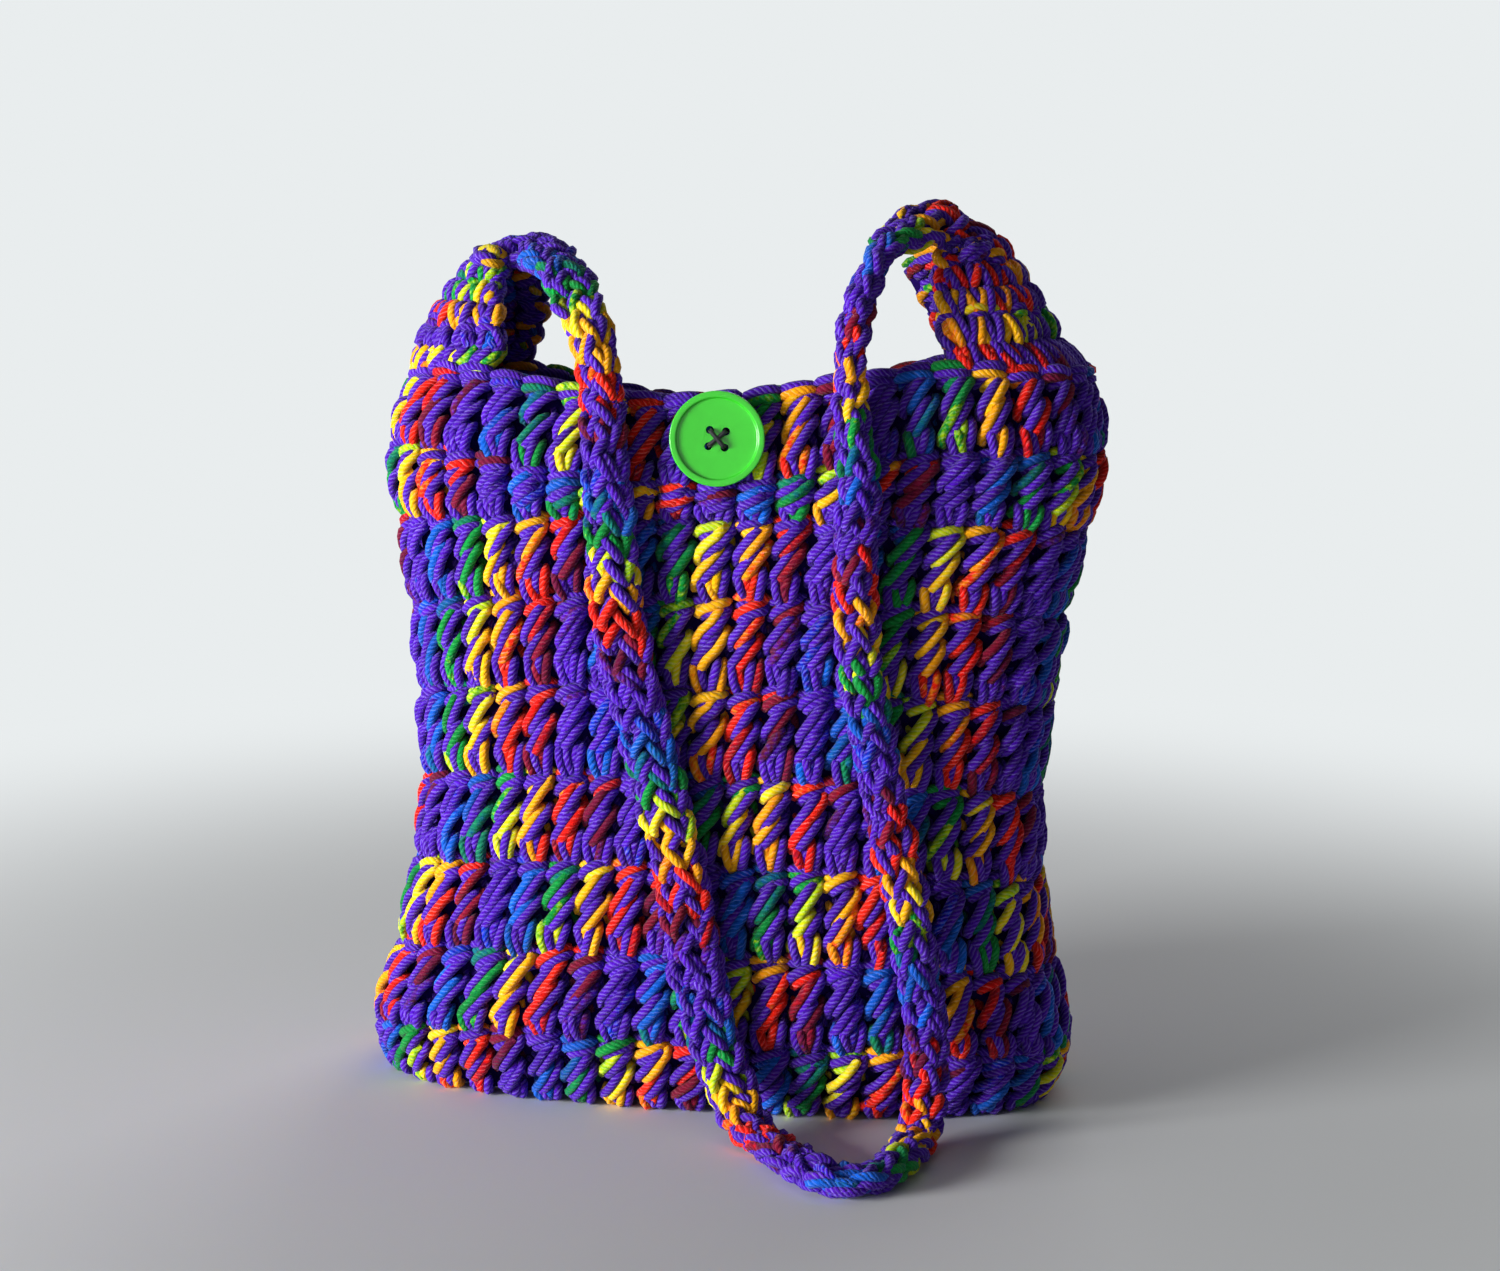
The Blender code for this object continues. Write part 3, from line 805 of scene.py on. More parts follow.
@dataclass
class Needlework:
    """Lays pairs of strands, one of each yarn side by side, on a fabric.

    A strand has this radius, and the pair's middle lines lie this spread apart, or that share of
    it where they are stacked. Stitches wander across, and by a share of it up, they rise and
    tilt, and a pair starts turned, turns on, drifts in its dye and is unevenly plump."""

    yarn: Material
    # The yarn inside the stitches, painted near black as painted shade
    inside: Material
    strand: float = 1.92 * MM
    spread: float = 3.02 * MM
    stack: float = 0.26
    wander: float = 0.042
    wander_up: float = 0.6
    rise: float = 0.45 * MM
    tilt: float = 0.04
    turning: float = 0.35
    twist: float = 0.8
    drift: float = 0.022
    plump: float = 0.05
    uneven: float = 0.035

    def lay(
        self, strands: Strands, fabric: Fabric, cells: Cells, paths: tuple[Path, ...], rng: Generator
    ) -> None:
        """Lays one pair along each path in every cell. None goes under the floor.

        Args:
            strands: The piece that they go into.
            fabric: The face that they lie on.
            cells: The stitches.
            paths: The runs through each stitch.
            rng: Draws how each stitch differs from the next.
        """
        number = len(cells.middle)
        for path in paths:
            run, wander = path.run()[None], self.wander * path.slack
            spreads = (wander, wander * self.wander_up, self.rise, self.tilt)
            shift = rng.normal(0, 1, (number, 4))[:, None] * spreads
            across = run[..., 0] + shift[..., 0]
            up = run[..., 1] + shift[..., 1] + shift[..., 3] * run[..., 0]
            lift = run[..., 2] * MM + shift[..., 2]
            a = cells.middle[:, None] + across * cells.wide[:, None]
            b = cells.foot[:, None] + up * cells.tall[:, None]
            facing = fabric.facing(a, b)
            middle = fabric.point(a, b) + facing * lift[..., None]
            side = unit(np.cross(unit(np.gradient(middle, axis=1)), facing))
            start = np.where(rng.random(number) < 0.5, 0.0, math.pi)
            start += rng.normal(0, self.turning, number)
            twist = rng.normal(0, self.twist, number)
            turn = start[:, None] + twist[:, None] * np.linspace(-0.5, 0.5, run.shape[1])[None]
            dye = np.broadcast_to(cells.dye[:, None], turn.shape) + path.dye_shift
            dye = dye + rng.normal(0, self.drift, (number, 1))
            for kind, sign in ((Dye.RAINBOW, 1.0), (Dye.PLAIN, -1.0)):
                off = side * (np.cos(turn) * self.spread / 2 * sign)[..., None]
                off += facing * (np.sin(turn) * self.spread * self.stack * sign)[..., None]
                plump = rng.normal(0, self.plump, (number, 1)) + rng.normal(0, self.uneven, turn.shape)
                radius = self.strand * (1 + plump)
                laid = middle + off
                laid[..., 2] = np.maximum(laid[..., 2], radius)
                strands.add(laid, facing, radius, dye, kind, rng)


# The runs through one tall stitch, foot to head: two legs, two wraps and the loop over its head
TALL_STITCH = (
    Path(
        (0.02, -0.05, -0.13, -0.20, -0.23),
        (-0.08, 0.01, 0.12, 0.24, 0.34),
        (-7.0, -4.8, -2.4, -2.2, -5.0),
        dye_shift=0.06,
    ),
    Path(
        (0.04, 0.09, 0.16, 0.22, 0.23),
        (-0.08, 0.01, 0.13, 0.26, 0.37),
        (-7.0, -4.8, -2.4, -2.2, -5.0),
        dye_shift=0.045,
    ),
    *(
        Path(
            (-0.25, -0.31, -0.22, 0.00, 0.21, 0.31, 0.26),
            (-0.230, -0.190, -0.120, 0.010, 0.145, 0.210, 0.250),
            (-6.8, -4.4, -2.2, -1.3, -2.0, -4.4, -6.8),
            start=start,
            extra=3,
            dye_shift=shift,
        )
        for start, shift in ((0.40, 0.02), (0.67, -0.02))
    ),
    Path(
        (-0.34, -0.29, -0.14, 0.08, 0.30, 0.48),
        (0.77, 0.81, 0.86, 0.905, 0.935, 0.95),
        (-6.8, -4.6, -2.9, -2.7, -3.9, -6.4),
        dye_shift=-0.06,
    ),
)
# The half of the chain along the top of a round that shows between the feet of the next
BACK_LOOP = (
    Path((-0.55, -0.25, 0.10, 0.50), (0.975, 1.0, 1.0, 0.965), (-6.4, -5.3, -5.3, -6.4), dye_shift=-0.07),
)
# The inner face of a tall stitch, which is seen only through the mouth
INNER_STITCH = (
    Path((0.0, -0.24, -0.24, 0.02), (-0.05, 0.12, 0.30, 0.44), (-2.4, -0.6, -0.8, -2.0), dye_shift=0.03),
    Path((0.36, 0.18, -0.18, -0.38), (0.30, 0.42, 0.58, 0.68), (-2.6, -0.6, -0.5, -2.6)),
    Path((0.38, 0.18, -0.18, -0.40), (0.58, 0.72, 0.88, 0.98), (-2.6, -0.6, -0.5, -2.6), dye_shift=-0.03),
)
# The chain that runs along the top of the last round
RIM_CHAIN = tuple(
    Path(across, up, height, extra=3, slack=0.7)
    for across, up, height in (
        ((-0.62, -0.30, 0.05, 0.42), (0.965, 1.02, 1.035, 1.0), (-3.6, -1.9, -1.7, -3.4)),
        ((-0.30, 0.0, 0.35, 0.70), (1.0, 1.045, 1.045, 0.99), (-5.2, -6.2, -7.2, -6.6)),
    )
)
# The runs through one short stitch of a tab, as its outer side shows it: a row of V shapes, and
# then a row worked back, of upturned ones under a bar
SHORT_STITCH = tuple(
    Path(across, up, (-5.0, -2.4, -1.6, -2.2, -5.0), dye_shift=shift)
    for across, up, shift in (
        ((0.00, -0.09, -0.20, -0.29, -0.26), (-0.14, 0.10, 0.42, 0.74, 1.02), 0.02),
        ((0.04, 0.13, 0.23, 0.31, 0.27), (-0.14, 0.12, 0.45, 0.76, 1.04), 0.01),
    )
)
SHORT_BACK = (
    *(
        Path(across, (-0.10, 0.16, 0.44, 0.74, 1.00), (-5.0, -2.4, -1.6, -2.2, -5.0), dye_shift=shift)
        for across, shift in (
            ((-0.30, -0.27, -0.18, -0.08, -0.02), 0.02),
            ((0.30, 0.27, 0.20, 0.11, 0.04), 0.01),
        )
    ),
    Path(
        (-0.52, -0.26, 0.02, 0.30, 0.52),
        (0.92, 1.00, 1.03, 1.02, 0.94),
        (-4.8, -2.6, -2.0, -2.8, -5.0),
        dye_shift=-0.03,
    ),
)
# A loop round the edge of a tab, from its outer face to its inner one
SELVEDGE = (
    Path(
        (-0.34, -0.10, 0.02, 0.05, -0.03, -0.30),
        (-0.10, 0.12, 0.36, 0.64, 0.90, 1.08),
        (-3.0, -1.4, -2.2, -4.6, -6.8, -7.6),
        extra=3,
    ),
)
# The inner face of a short stitch
SHORT_INNER = (
    Path((0.36, 0.18, -0.18, -0.38), (0.10, 0.35, 0.55, 0.80), (-3.0, -1.2, -1.2, -3.0)),
    Path((-0.42, -0.20, 0.20, 0.42), (0.86, 0.93, 0.93, 0.86), (-3.2, -1.6, -1.6, -3.2)),
)
# One chain of the strap, as turns round it: two V shapes side by side, half a chain apart, and a
# loop along each edge, and the V shape on its back
CHAIN_FRONT = (
    *(
        Path(
            tuple(0.105 * column + arm * out for out in (0.004, 0.014, 0.042, 0.080, 0.112, 0.124)),
            (-0.42, -0.20, 0.08, 0.36, 0.62, 0.84),
            (-4.4, -2.4, -0.9, -0.8, -2.0, -4.4),
            start=start,
            extra=1,
            dye_shift=0.02 * arm,
            slack=0.55,
        )
        for column, start in ((-1, 0.0), (1, 0.5))
        for arm in (-1, 1)
    ),
    *(
        Path(
            tuple(side * out for out in (0.262, 0.268, 0.258, 0.240)),
            (-0.50, -0.18, 0.22, 0.55),
            (-3.6, -1.6, -1.6, -3.6),
            dye_shift=0.03,
            slack=0.55,
        )
        for side in (-1, 1)
    ),
)
CHAIN_BACK = tuple(
    Path(
        tuple(arm * out for out in (0.015, 0.06, 0.14, 0.21)),
        (-0.50, -0.05, 0.45, 0.95),
        (-4.4, -1.6, -1.6, -4.2),
        dye_shift=0.02 * arm,
        slack=0.55,
    )
    for arm in (-1, 1)
)


@dataclass
class Body:
    """The crocheted shell: nine rounds of tall stitches, the chain round the mouth, the inner
    face and the floor.

    The dyed yarn is red at these stitches of each round, and comes round again at this repeat
    beyond them. The yarn inside the stitches lies this far behind the crests, and less behind
    each stitch's post. The inner face's strands lie a little further in than the wall is thick.
    The floor reaches from under up to floor, and its rings lie at shares of its reach."""

    form: BodyForm
    work: Needlework
    repeat: float = 6.35
    repeats: int = 9
    red_at: float = YarnFinish.red_at
    reds: tuple[tuple[float, ...], ...] = (
        (28.5, 34.0, 40.0),
        (25.5, 30.5, 37.0, 42.0),
        (27.0, 32.5, 39.5, 45.0),
        (30.5, 37.5, 43.5),
        (29.0, 35.5, 42.0),
        (29.0, 35.5, 41.5),
        (30.0, 36.0, 42.0),
        (27.0, 33.5, 38.5, 45.5),
        (26.0, 32.5, 37.0, 42.5),
    )
    seed: int = 11
    inner_seed: int = 51
    inner_sides: int = 5
    inner_lift: float = 0.3 * MM
    backing: float = 7.6 * MM
    post: float = 2.8 * MM
    under: float = 1.2 * MM
    floor: float = 6.0 * MM
    floor_rings: tuple[float, ...] = (0.66, 0.33)
    core_steps: tuple[int, int] = (4, 5)

    def cells(self, level: int) -> Cells:
        """The stitches of one round, each with its place in the run of dyes.

        Args:
            level: The round, counted from none at the floor.

        Returns:
            The stitches. Their dyes' places count whole runs, and so pass one.
        """
        reds = self.reds[level]
        before = [reds[0] - self.repeat * k for k in range(self.repeats, 0, -1)]
        after = [reds[-1] + self.repeat * k for k in range(1, self.repeats)]
        anchors = np.array([*before, *reds, *after])
        middle = np.arange(self.form.stitches) + 0.5
        ones = np.ones(len(middle))
        dye = np.interp(middle, anchors, np.arange(len(anchors))) + self.red_at
        return Cells(middle, ones * level, ones, ones, dye)

    def build_round(self, level: int) -> Object:
        """Works one round, and over the last one the chain round the mouth.

        Args:
            level: The round, counted from none at the floor.

        Returns:
            The round, as one piece.
        """
        strands = Strands(f"round_{level + 1}", Part.BODY)
        chain = RIM_CHAIN if level + 1 == self.form.rounds else BACK_LOOP
        rng = np.random.default_rng(self.seed + level)
        self.work.lay(strands, self.form, self.cells(level), TALL_STITCH + chain, rng)
        return strands.build(self.work.yarn)

    def build_inner_face(self) -> Object:
        """Works the inner face of all the rounds.

        Returns:
            The inner face, as one piece.
        """
        strands = Strands("inner_face", Part.BODY, sides=self.inner_sides)
        inner = Inside(self.form, self.form.wall + self.inner_lift)
        for level in range(self.form.rounds):
            rng = np.random.default_rng(self.inner_seed + level)
            self.work.lay(strands, inner, self.cells(level), INNER_STITCH, rng)
        return strands.build(self.work.yarn)

    def build_core(self) -> Object:
        """Fills the gaps between the strands with the yarn inside the stitches, and lays the floor.

        Returns:
            Both, as one piece.
        """
        form, (fine_across, fine_up) = self.form, self.core_steps
        stitches = np.arange(fine_across * form.stitches) / fine_across
        heights = np.linspace(0, form.rounds, fine_up * form.rounds + 1)
        across, up = np.meshgrid(stitches, heights)
        post = np.cos(2 * math.pi * (across - 0.5)) * 0.5 + 0.5
        edge = 2 * form.step
        facing = form.facing(across, np.clip(up, edge, form.rounds - edge))
        crest = form.point(across, up)
        outer = crest - facing * (self.backing - self.post * post)[..., None]
        inner = crest - facing * form.wall
        outer[..., 2] = np.maximum(outer[..., 2], self.under)
        inner[..., 2] = np.maximum(inner[..., 2], self.floor)
        rings = [*outer, *inner[::-1]]
        middle = np.mean(outer[0], axis=0)
        for share in self.floor_rings:
            ring = middle + (inner[0] - middle) * share
            ring[:, 2] = self.floor
            rings.append(ring)
        return backing_piece("core", rings, self.work.inside, Part.BODY)


@dataclass
class StrapForm(Fabric):
    """The form of the strap between its two tabs: a chain that is wider than it is thick. Across
    it counts turns from the middle of its outer face, and up it counts chains from the left tab.

    Its route is in stretches. Over an arch: x and z from the rim's end, y, and the way that the
    outer face looks. Down the front: x, and a share of the body's height. On the floor: x,
    distance in front of the body, and where it doesn't lie flat its height and its facing. Its
    pulls say how much of its width it keeps, at shares of its length, where it is drawn tight or
    lies slack."""

    body: BodyForm
    half_width: float = 8.4 * MM
    half_thickness: float = 4.5 * MM
    chain: float = 9.6 * MM
    clearance: float = 0.3 * MM
    lift: float = 2.6 * MM
    samples: int = 24
    pulls: tuple[tuple[float, float], ...] = (
        *((0.0, 1.15), (0.05, 1.05), (0.09, 0.84), (0.13, 0.95), (0.20, 1.12), (0.38, 1.08)),
        *((0.44, 0.94), (0.50, 0.82), (0.56, 0.82), (0.62, 0.86), (0.84, 0.82), (0.895, 0.58)),
        *((0.945, 0.50), (0.965, 0.95), (0.98, 1.30), (1.00, 1.40)),
    )
    left_arch: tuple[tuple, ...] = (
        (0.0360, -0.0030, 0.0455, (-0.25, -0.5, 1)),
        (0.0475, -0.0110, 0.0444, (0, -0.7, 1)),
        (0.0572, -0.0240, 0.0402, (0.4, -0.8, 1)),
        (0.0645, -0.0345, 0.0355, (0.5, -1, 0.6)),
        (0.0735, -0.0465, 0.0235, (0.1, -1, 0.1)),
        (0.0790, -0.0530, 0.0120, (0, -1, 0)),
    )
    left_fall: tuple[tuple[float, float], ...] = (
        *((-0.0305, 0.948), (-0.0280, 0.865), (-0.0265, 0.775), (-0.0250, 0.695), (-0.0205, 0.609)),
        *((-0.0135, 0.512), (-0.0070, 0.418), (-0.0005, 0.324), (0.0050, 0.227), (0.0110, 0.141)),
    )
    floor_loop: tuple[tuple, ...] = (
        (0.0190, 0.0100, 0.0110, (0, -0.7, 0.7)),
        (0.0290, 0.0210, 0.0010),
        *((0.0385, 0.0340), (0.0484, 0.0469), (0.0575, 0.0575), (0.0684, 0.0620)),
        *((0.0780, 0.0545), (0.0830, 0.0410), (0.0860, 0.0260)),
        (0.0885, 0.0120, 0.0040, (0, -0.6, 0.8)),
    )
    right_fall: tuple[tuple[float, float], ...] = (
        *((0.0580, 0.948), (0.0615, 0.865), (0.0612, 0.775), (0.0609, 0.695), (0.0628, 0.609)),
        *((0.0674, 0.512), (0.0725, 0.418), (0.0785, 0.324), (0.0828, 0.227), (0.0870, 0.144)),
    )
    right_arch: tuple[tuple, ...] = (
        (-0.0450, -0.0030, 0.0528, (0.25, -1.0, 1)),
        (-0.0568, -0.0110, 0.0540, (0, -1.1, 1)),
        (-0.0660, -0.0230, 0.0490, (-0.4, -0.9, 1)),
        (-0.0705, -0.0340, 0.0440, (-0.5, -1, 0.6)),
        (-0.0755, -0.0455, 0.0290, (-0.1, -1, 0.1)),
        (-0.0785, -0.0530, 0.0120, (0, -1, 0)),
    )

    def __post_init__(self) -> None:
        """Reads the middle line and its facing at close steps, and counts its chains."""
        places, facings = self.route()
        at = np.linspace(0, len(places) - 1, self.samples * len(places))
        self.line = smooth_between(places, at)
        run = run_along(self.line)
        self.chains = round(run[-1] / self.chain)
        self.counts = run / run[-1] * self.chains
        self.directions = unit(np.gradient(self.line, self.counts, axis=0))
        looks = smooth_between(facings, at)
        looks -= self.directions * np.sum(looks * self.directions, axis=1, keepdims=True)
        self.looks = unit(looks)
        self.turn_back = float(self.counts[np.argmin(self.line[:, 1])])

    def arch(self, side: Side, x: float, y: float, z: float, facing: tuple) -> tuple:
        """A place over an arch, and the facing there."""
        return self.body.rim_end(side) * (1, 0, 1) + (x, y, z), facing

    def hung(self, x: float, share: float) -> tuple:
        """A place down the front, and the facing there."""
        point, facing = self.body.on_front(x, share * self.body.height)
        return point + facing * (self.half_thickness + self.lift), facing

    def laid(self, x: float, out: float, z: float = 0.0, facing: tuple = (0, 0, 1)) -> tuple:
        """A place on the floor before the bag, and the facing there."""
        rest = z + self.half_thickness + self.clearance
        return np.array((x, -self.body.depth / 2 - out, rest)), facing

    def route(self) -> tuple[Array, Array]:
        """Strings the route's stretches together.

        Returns:
            Its own points, end to end, and the way the outer face looks at each.
        """
        stops = [self.arch(Side.LEFT, *stop) for stop in self.left_arch]
        stops += [self.hung(*stop) for stop in self.left_fall]
        stops += [self.laid(*stop) for stop in self.floor_loop]
        stops += [self.hung(*stop) for stop in self.right_fall[::-1]]
        stops += [self.arch(Side.RIGHT, *stop) for stop in self.right_arch[::-1]]
        places, facings = zip(*stops)
        return np.array(places), unit(np.array(facings, float))

    def spot(self, up: Array) -> tuple[Array, Array, Array]:
        """Reads the middle line.

        Args:
            up: Chains from the left tab.

        Returns:
            Its point, its direction and the way the outer face looks, for each of them.
        """
        read = [
            np.stack([np.interp(up, self.counts, values[:, k]) for k in range(3)], axis=-1)
            for values in (self.line, self.directions, self.looks)
        ]
        return read[0], unit(read[1]), unit(read[2])

    def reach(self, up: Array) -> Array:
        """Half the strap's width at some chains."""
        shares, kept = zip(*self.pulls)
        return np.interp(np.asarray(up, float) / self.chains, shares, kept) * self.half_width

    def point(self, across: Array, up: Array) -> Array:
        """Points of the crests of the yarn.

        Args:
            across: Turns from the middle of the outer face.
            up: Chains from the left tab.

        Returns:
            One point for each.
        """
        middle, direction, look = self.spot(up)
        turn = 2 * math.pi * np.asarray(across, float)[..., None]
        side = np.cross(look, direction) * self.reach(up)[..., None]
        return middle + look * np.cos(turn) * self.half_thickness - side * np.sin(turn)


@dataclass
class Strap:
    """The chain strap: over the left arch, down the front, along the floor, and up again. Its
    dyed yarn is red at these chains."""

    form: StrapForm
    work: Needlework
    seed: int = 71
    red_at: float = YarnFinish.red_at
    reds: tuple[float, ...] = (-2.6, 9.7, 18.3, 28.8, 39.0, 51.8, 61.2, 71.1, 80.2, 88.2)
    backing: float = 3.4 * MM
    ring: int = 12
    core_steps: int = 2

    def cells(self, face: float) -> Cells:
        """The chains of one face. Their V shapes open upwards on both falls.

        Args:
            face: Where round the strap the face's middle is, in turns.

        Returns:
            The chains.
        """
        count = np.arange(self.form.chains)
        down = count < self.form.turn_back
        ones = np.ones(len(count))
        dye = np.interp(count, self.reds, np.arange(len(self.reds)))
        return Cells(ones * face, count + down, ones, np.where(down, -1.0, 1.0), dye + self.red_at)

    def build(self) -> Object:
        """Works the arms and edge loops of every chain.

        Returns:
            The chain, as one piece.
        """
        rng = np.random.default_rng(self.seed)
        strands = Strands("strap_chain", Part.STRAP)
        for face, paths in ((0.0, CHAIN_FRONT), (0.5, CHAIN_BACK)):
            self.work.lay(strands, self.form, self.cells(face), paths, rng)
        return strands.build(self.work.yarn)

    def build_core(self) -> Object:
        """Fills the chain with the yarn inside it.

        Returns:
            That yarn, as one piece.
        """
        ups = np.linspace(0, self.form.chains, self.core_steps * self.form.chains + 1)
        turns, counts = np.meshgrid(np.arange(self.ring) / self.ring, ups)
        rings = self.form.point(turns, counts) - self.form.facing(turns, counts) * self.backing
        return backing_piece("strap_core", list(rings), self.work.inside, Part.STRAP)


@dataclass(frozen=True)
class TabPlan:
    """What is one tab's own: how many of the rim's stitches it reaches to each side of the end,
    its rows, the stitches of each crocheted row, and the place in the run of dyes at their front
    edges. A row has its inset of the crown from the rim's end, its rise above the rim, its half
    depth, and how far its front and back edges reach."""

    side: Side
    reach: float
    rows: tuple[tuple[float, ...], ...]
    stitches: tuple[int, ...]
    fronts: tuple[float, ...]


LEFT_TAB = TabPlan(
    Side.LEFT,
    4.5,
    (
        (0.0010, 0.0115, 0.0310, 0.0400, 0.0345),
        (0.0075, 0.0215, 0.0260, 0.0300, 0.0330),
        (0.0140, 0.0305, 0.0210, 0.0220, 0.0280),
        (0.0212, 0.0395, 0.0160, 0.0150, 0.0200),
        (0.0290, 0.0452, 0.0110, 0.0070, 0.0100),
    ),
    (12, 11, 9, 8, 6, 5, 4),
    (0.42, 0.14, 0.60, 0.50, 0.40, 0.55, 0.02),
)
RIGHT_TAB = TabPlan(
    Side.RIGHT,
    5.5,
    (
        (0.0110, 0.0128, 0.0310, 0.0370, 0.0450),
        (0.0165, 0.0230, 0.0260, 0.0345, 0.0425),
        (0.0225, 0.0325, 0.0210, 0.0300, 0.0415),
        (0.0285, 0.0413, 0.0160, 0.0255, 0.0380),
        (0.0338, 0.0488, 0.0110, 0.0162, 0.0225),
    ),
    (14, 12, 10, 8, 6, 5),
    (0.72, 0.65, 0.59, 0.80, 0.60, 0.99),
)


@dataclass
class TabForm(Fabric):
    """The form of one tab: from -1 to 1 across its outer face, the way that the body's stitches
    run, and up its rows from the rim to the strap."""

    body: BodyForm
    strap: StrapForm
    plan: TabPlan
    thickness: float = 8.0 * MM

    def base(self, across: Array) -> Array:
        """Where the tab stands on the rim."""
        inset, stitch = (self.body.wall - self.thickness) / 2, across * self.plan.reach
        return self.body.point(self.body.tip(self.plan.side) + stitch, self.body.rounds, inset)

    def top(self, across: Array) -> Array:
        """The outer half of the strap's end.

        Args:
            across: Places across the tab.

        Returns:
            One point for each.
        """
        form, side = self.strap, self.plan.side
        end = 0.0 if side is Side.LEFT else float(form.chains)
        middle, direction, look = form.spot(end)
        turn = (side * across * math.pi / 2)[..., None]
        wide = np.cross(look, direction) * form.reach(end)
        return middle + wide * np.sin(turn) + look * form.half_thickness * np.cos(turn)

    def row(self, across: Array, up: Array) -> Array:
        """Points of the crests between the first and the last row.

        Args:
            across: Places across the tab.
            up: Rows up from the rim.

        Returns:
            One point for each.
        """
        side, rows = self.plan.side, smooth_between(np.array(self.plan.rows), up - 1)
        inset, rise, depth, front, back = np.moveaxis(rows, -1, 0)
        place, zero = side * across, np.zeros_like(inset)
        turn = np.abs(place) * math.pi / 2
        reach = np.where(place < 0, front, back) * (1 - np.cos(turn))
        swing = np.sign(place) * np.sin(turn)
        lean = np.arctan2(inset, rise)
        crown = self.body.rim_end(side) + np.stack([-side * inset, zero, rise], axis=-1)
        bend = np.stack([-side * reach, swing * depth, zero], axis=-1)
        outwards = np.stack([side * np.cos(lean), zero, np.sin(lean)], axis=-1)
        level = np.stack([zero, swing, zero], axis=-1)
        return crown + bend + unit(outwards * np.cos(turn)[..., None] + level) * self.thickness / 2

    def point(self, across: Array, up: Array) -> Array:
        """Points of the crests of the yarn.

        Args:
            across: Places across the tab.
            up: Rows up from the rim.

        Returns:
            One point for each.
        """
        across, up = np.broadcast_arrays(np.asarray(across, float), np.asarray(up, float))
        last = len(self.plan.rows)
        low, high = np.clip(1 - up, 0, 1)[..., None], np.clip(up - last, 0, 1)[..., None]
        row = self.row(across, np.clip(up, 1, last))
        return self.base(across) * low + self.top(across) * high + row * (1 - low - high)

    def facing(self, across: Array, up: Array) -> Array:
        """The way the tab looks at those points."""
        edge = 2 * self.step
        return super().facing(across, np.clip(up, edge, len(self.plan.rows) + 1 - edge))


@dataclass
class Tab:
    """One tab: rows of short stitches that narrow from the rim up to the strap. Its dyed yarn
    moves on by this creep at each stitch."""

    form: TabForm
    work: Needlework
    seed: int = 90
    creep: float = 0.05
    edge: float = 0.97
    backing: tuple[float, float] = (3.0 * MM, 6.0 * MM)
    core_steps: tuple[int, int] = (14, 4)

    def __post_init__(self) -> None:
        """Names the tab, and sees how far up its form each crocheted row goes."""
        self.plan = self.form.plan
        self.name = f"{self.plan.side.name.lower()}_tab"
        self.rise = (len(self.plan.rows) + 1) / len(self.plan.stitches)

    def cells(self, row: int) -> Cells:
        """The stitches of one row, worked to and fro, so that its dyes run on from the row below.

        Args:
            row: The crocheted row, counted from none at the rim.

        Returns:
            The stitches.
        """
        number = self.plan.stitches[row]
        order, ones = np.arange(number), np.ones(number)
        middle = -1 + (order + 0.5) * 2 / number
        from_front = order if self.plan.side is Side.RIGHT else number - 1 - order
        dye = self.plan.fronts[row] + self.creep * from_front * (-1 if row % 2 else 1)
        return Cells(middle, ones * row * self.rise, ones * 2 / number, ones * self.rise, dye)

    def edges(self) -> Cells:
        """Sets the loops round the front and the back edge.

        Returns:
            The loops, one for each row at each edge.
        """
        number = len(self.plan.stitches)
        counts, rows = (np.tile(values, 2) for values in (self.plan.stitches, np.arange(number)))
        side = np.repeat((-self.edge, self.edge), number)
        dye = np.tile(np.array(self.plan.fronts) + self.creep, 2)
        return Cells(side, rows * self.rise, side * 2 / counts, np.full(2 * number, self.rise), dye)

    def build(self) -> Object:
        """Works the outer and inner stitches and the edges.

        Returns:
            The tab, as one piece.
        """
        rng = np.random.default_rng(self.seed + self.plan.side)
        strands = Strands(self.name, Part.STRAP)
        inner = Inside(self.form, self.form.thickness)
        for row in range(len(self.plan.stitches)):
            outer_paths = SHORT_BACK if row % 2 else SHORT_STITCH
            self.work.lay(strands, self.form, self.cells(row), outer_paths, rng)
            self.work.lay(strands, inner, self.cells(row), SHORT_INNER, rng)
        self.work.lay(strands, self.form, self.edges(), SELVEDGE, rng)
        return strands.build(self.work.yarn)

    def build_core(self) -> Object:
        """Fills the rows with the yarn inside them.

        Returns:
            That yarn, as one piece.
        """
        rows, (wide, tall) = len(self.plan.rows) + 1, self.core_steps
        across, up = np.meshgrid(np.linspace(-1, 1, wide), np.linspace(0, rows, tall * rows + 1))
        crest, facing = self.form.point(across, up), self.form.facing(across, up)
        outer, inner = (crest - facing * depth for depth in self.backing)
        rings = list(np.concatenate([outer, inner[:, ::-1]], axis=1))
        return backing_piece(f"{self.name}_core", rings, self.work.inside, Part.STRAP)


def select_faces(piece: Object, wanted: Callable[[bmesh.types.BMFace], bool]) -> None:
    """Opens a piece in edit mode with only some of its faces selected.

    Args:
        piece: The piece, which stays open in edit mode.
        wanted: Says of a face whether it is to be selected.
    """
    bpy.context.view_layer.objects.active = piece
    bpy.ops.object.mode_set(mode="EDIT")
    bpy.ops.mesh.select_mode(type="FACE")
    bpy.ops.mesh.select_all(action="DESELECT")
    shape = bmesh.from_edit_mesh(piece.data)
    for face in shape.faces:
        face.select = wanted(face)
    shape.select_flush_mode()
    bmesh.update_edit_mesh(piece.data)


def apply_modifier(piece: Object, modifier: Modifier) -> None:
    """Makes a modifier's result the piece's own mesh.

    Args:
        piece: The piece.
        modifier: One of its modifiers.
    """
    bpy.ops.object.select_all(action="DESELECT")
    piece.select_set(True)
    bpy.context.view_layer.objects.active = piece
    bpy.ops.object.modifier_apply(modifier=modifier.name)


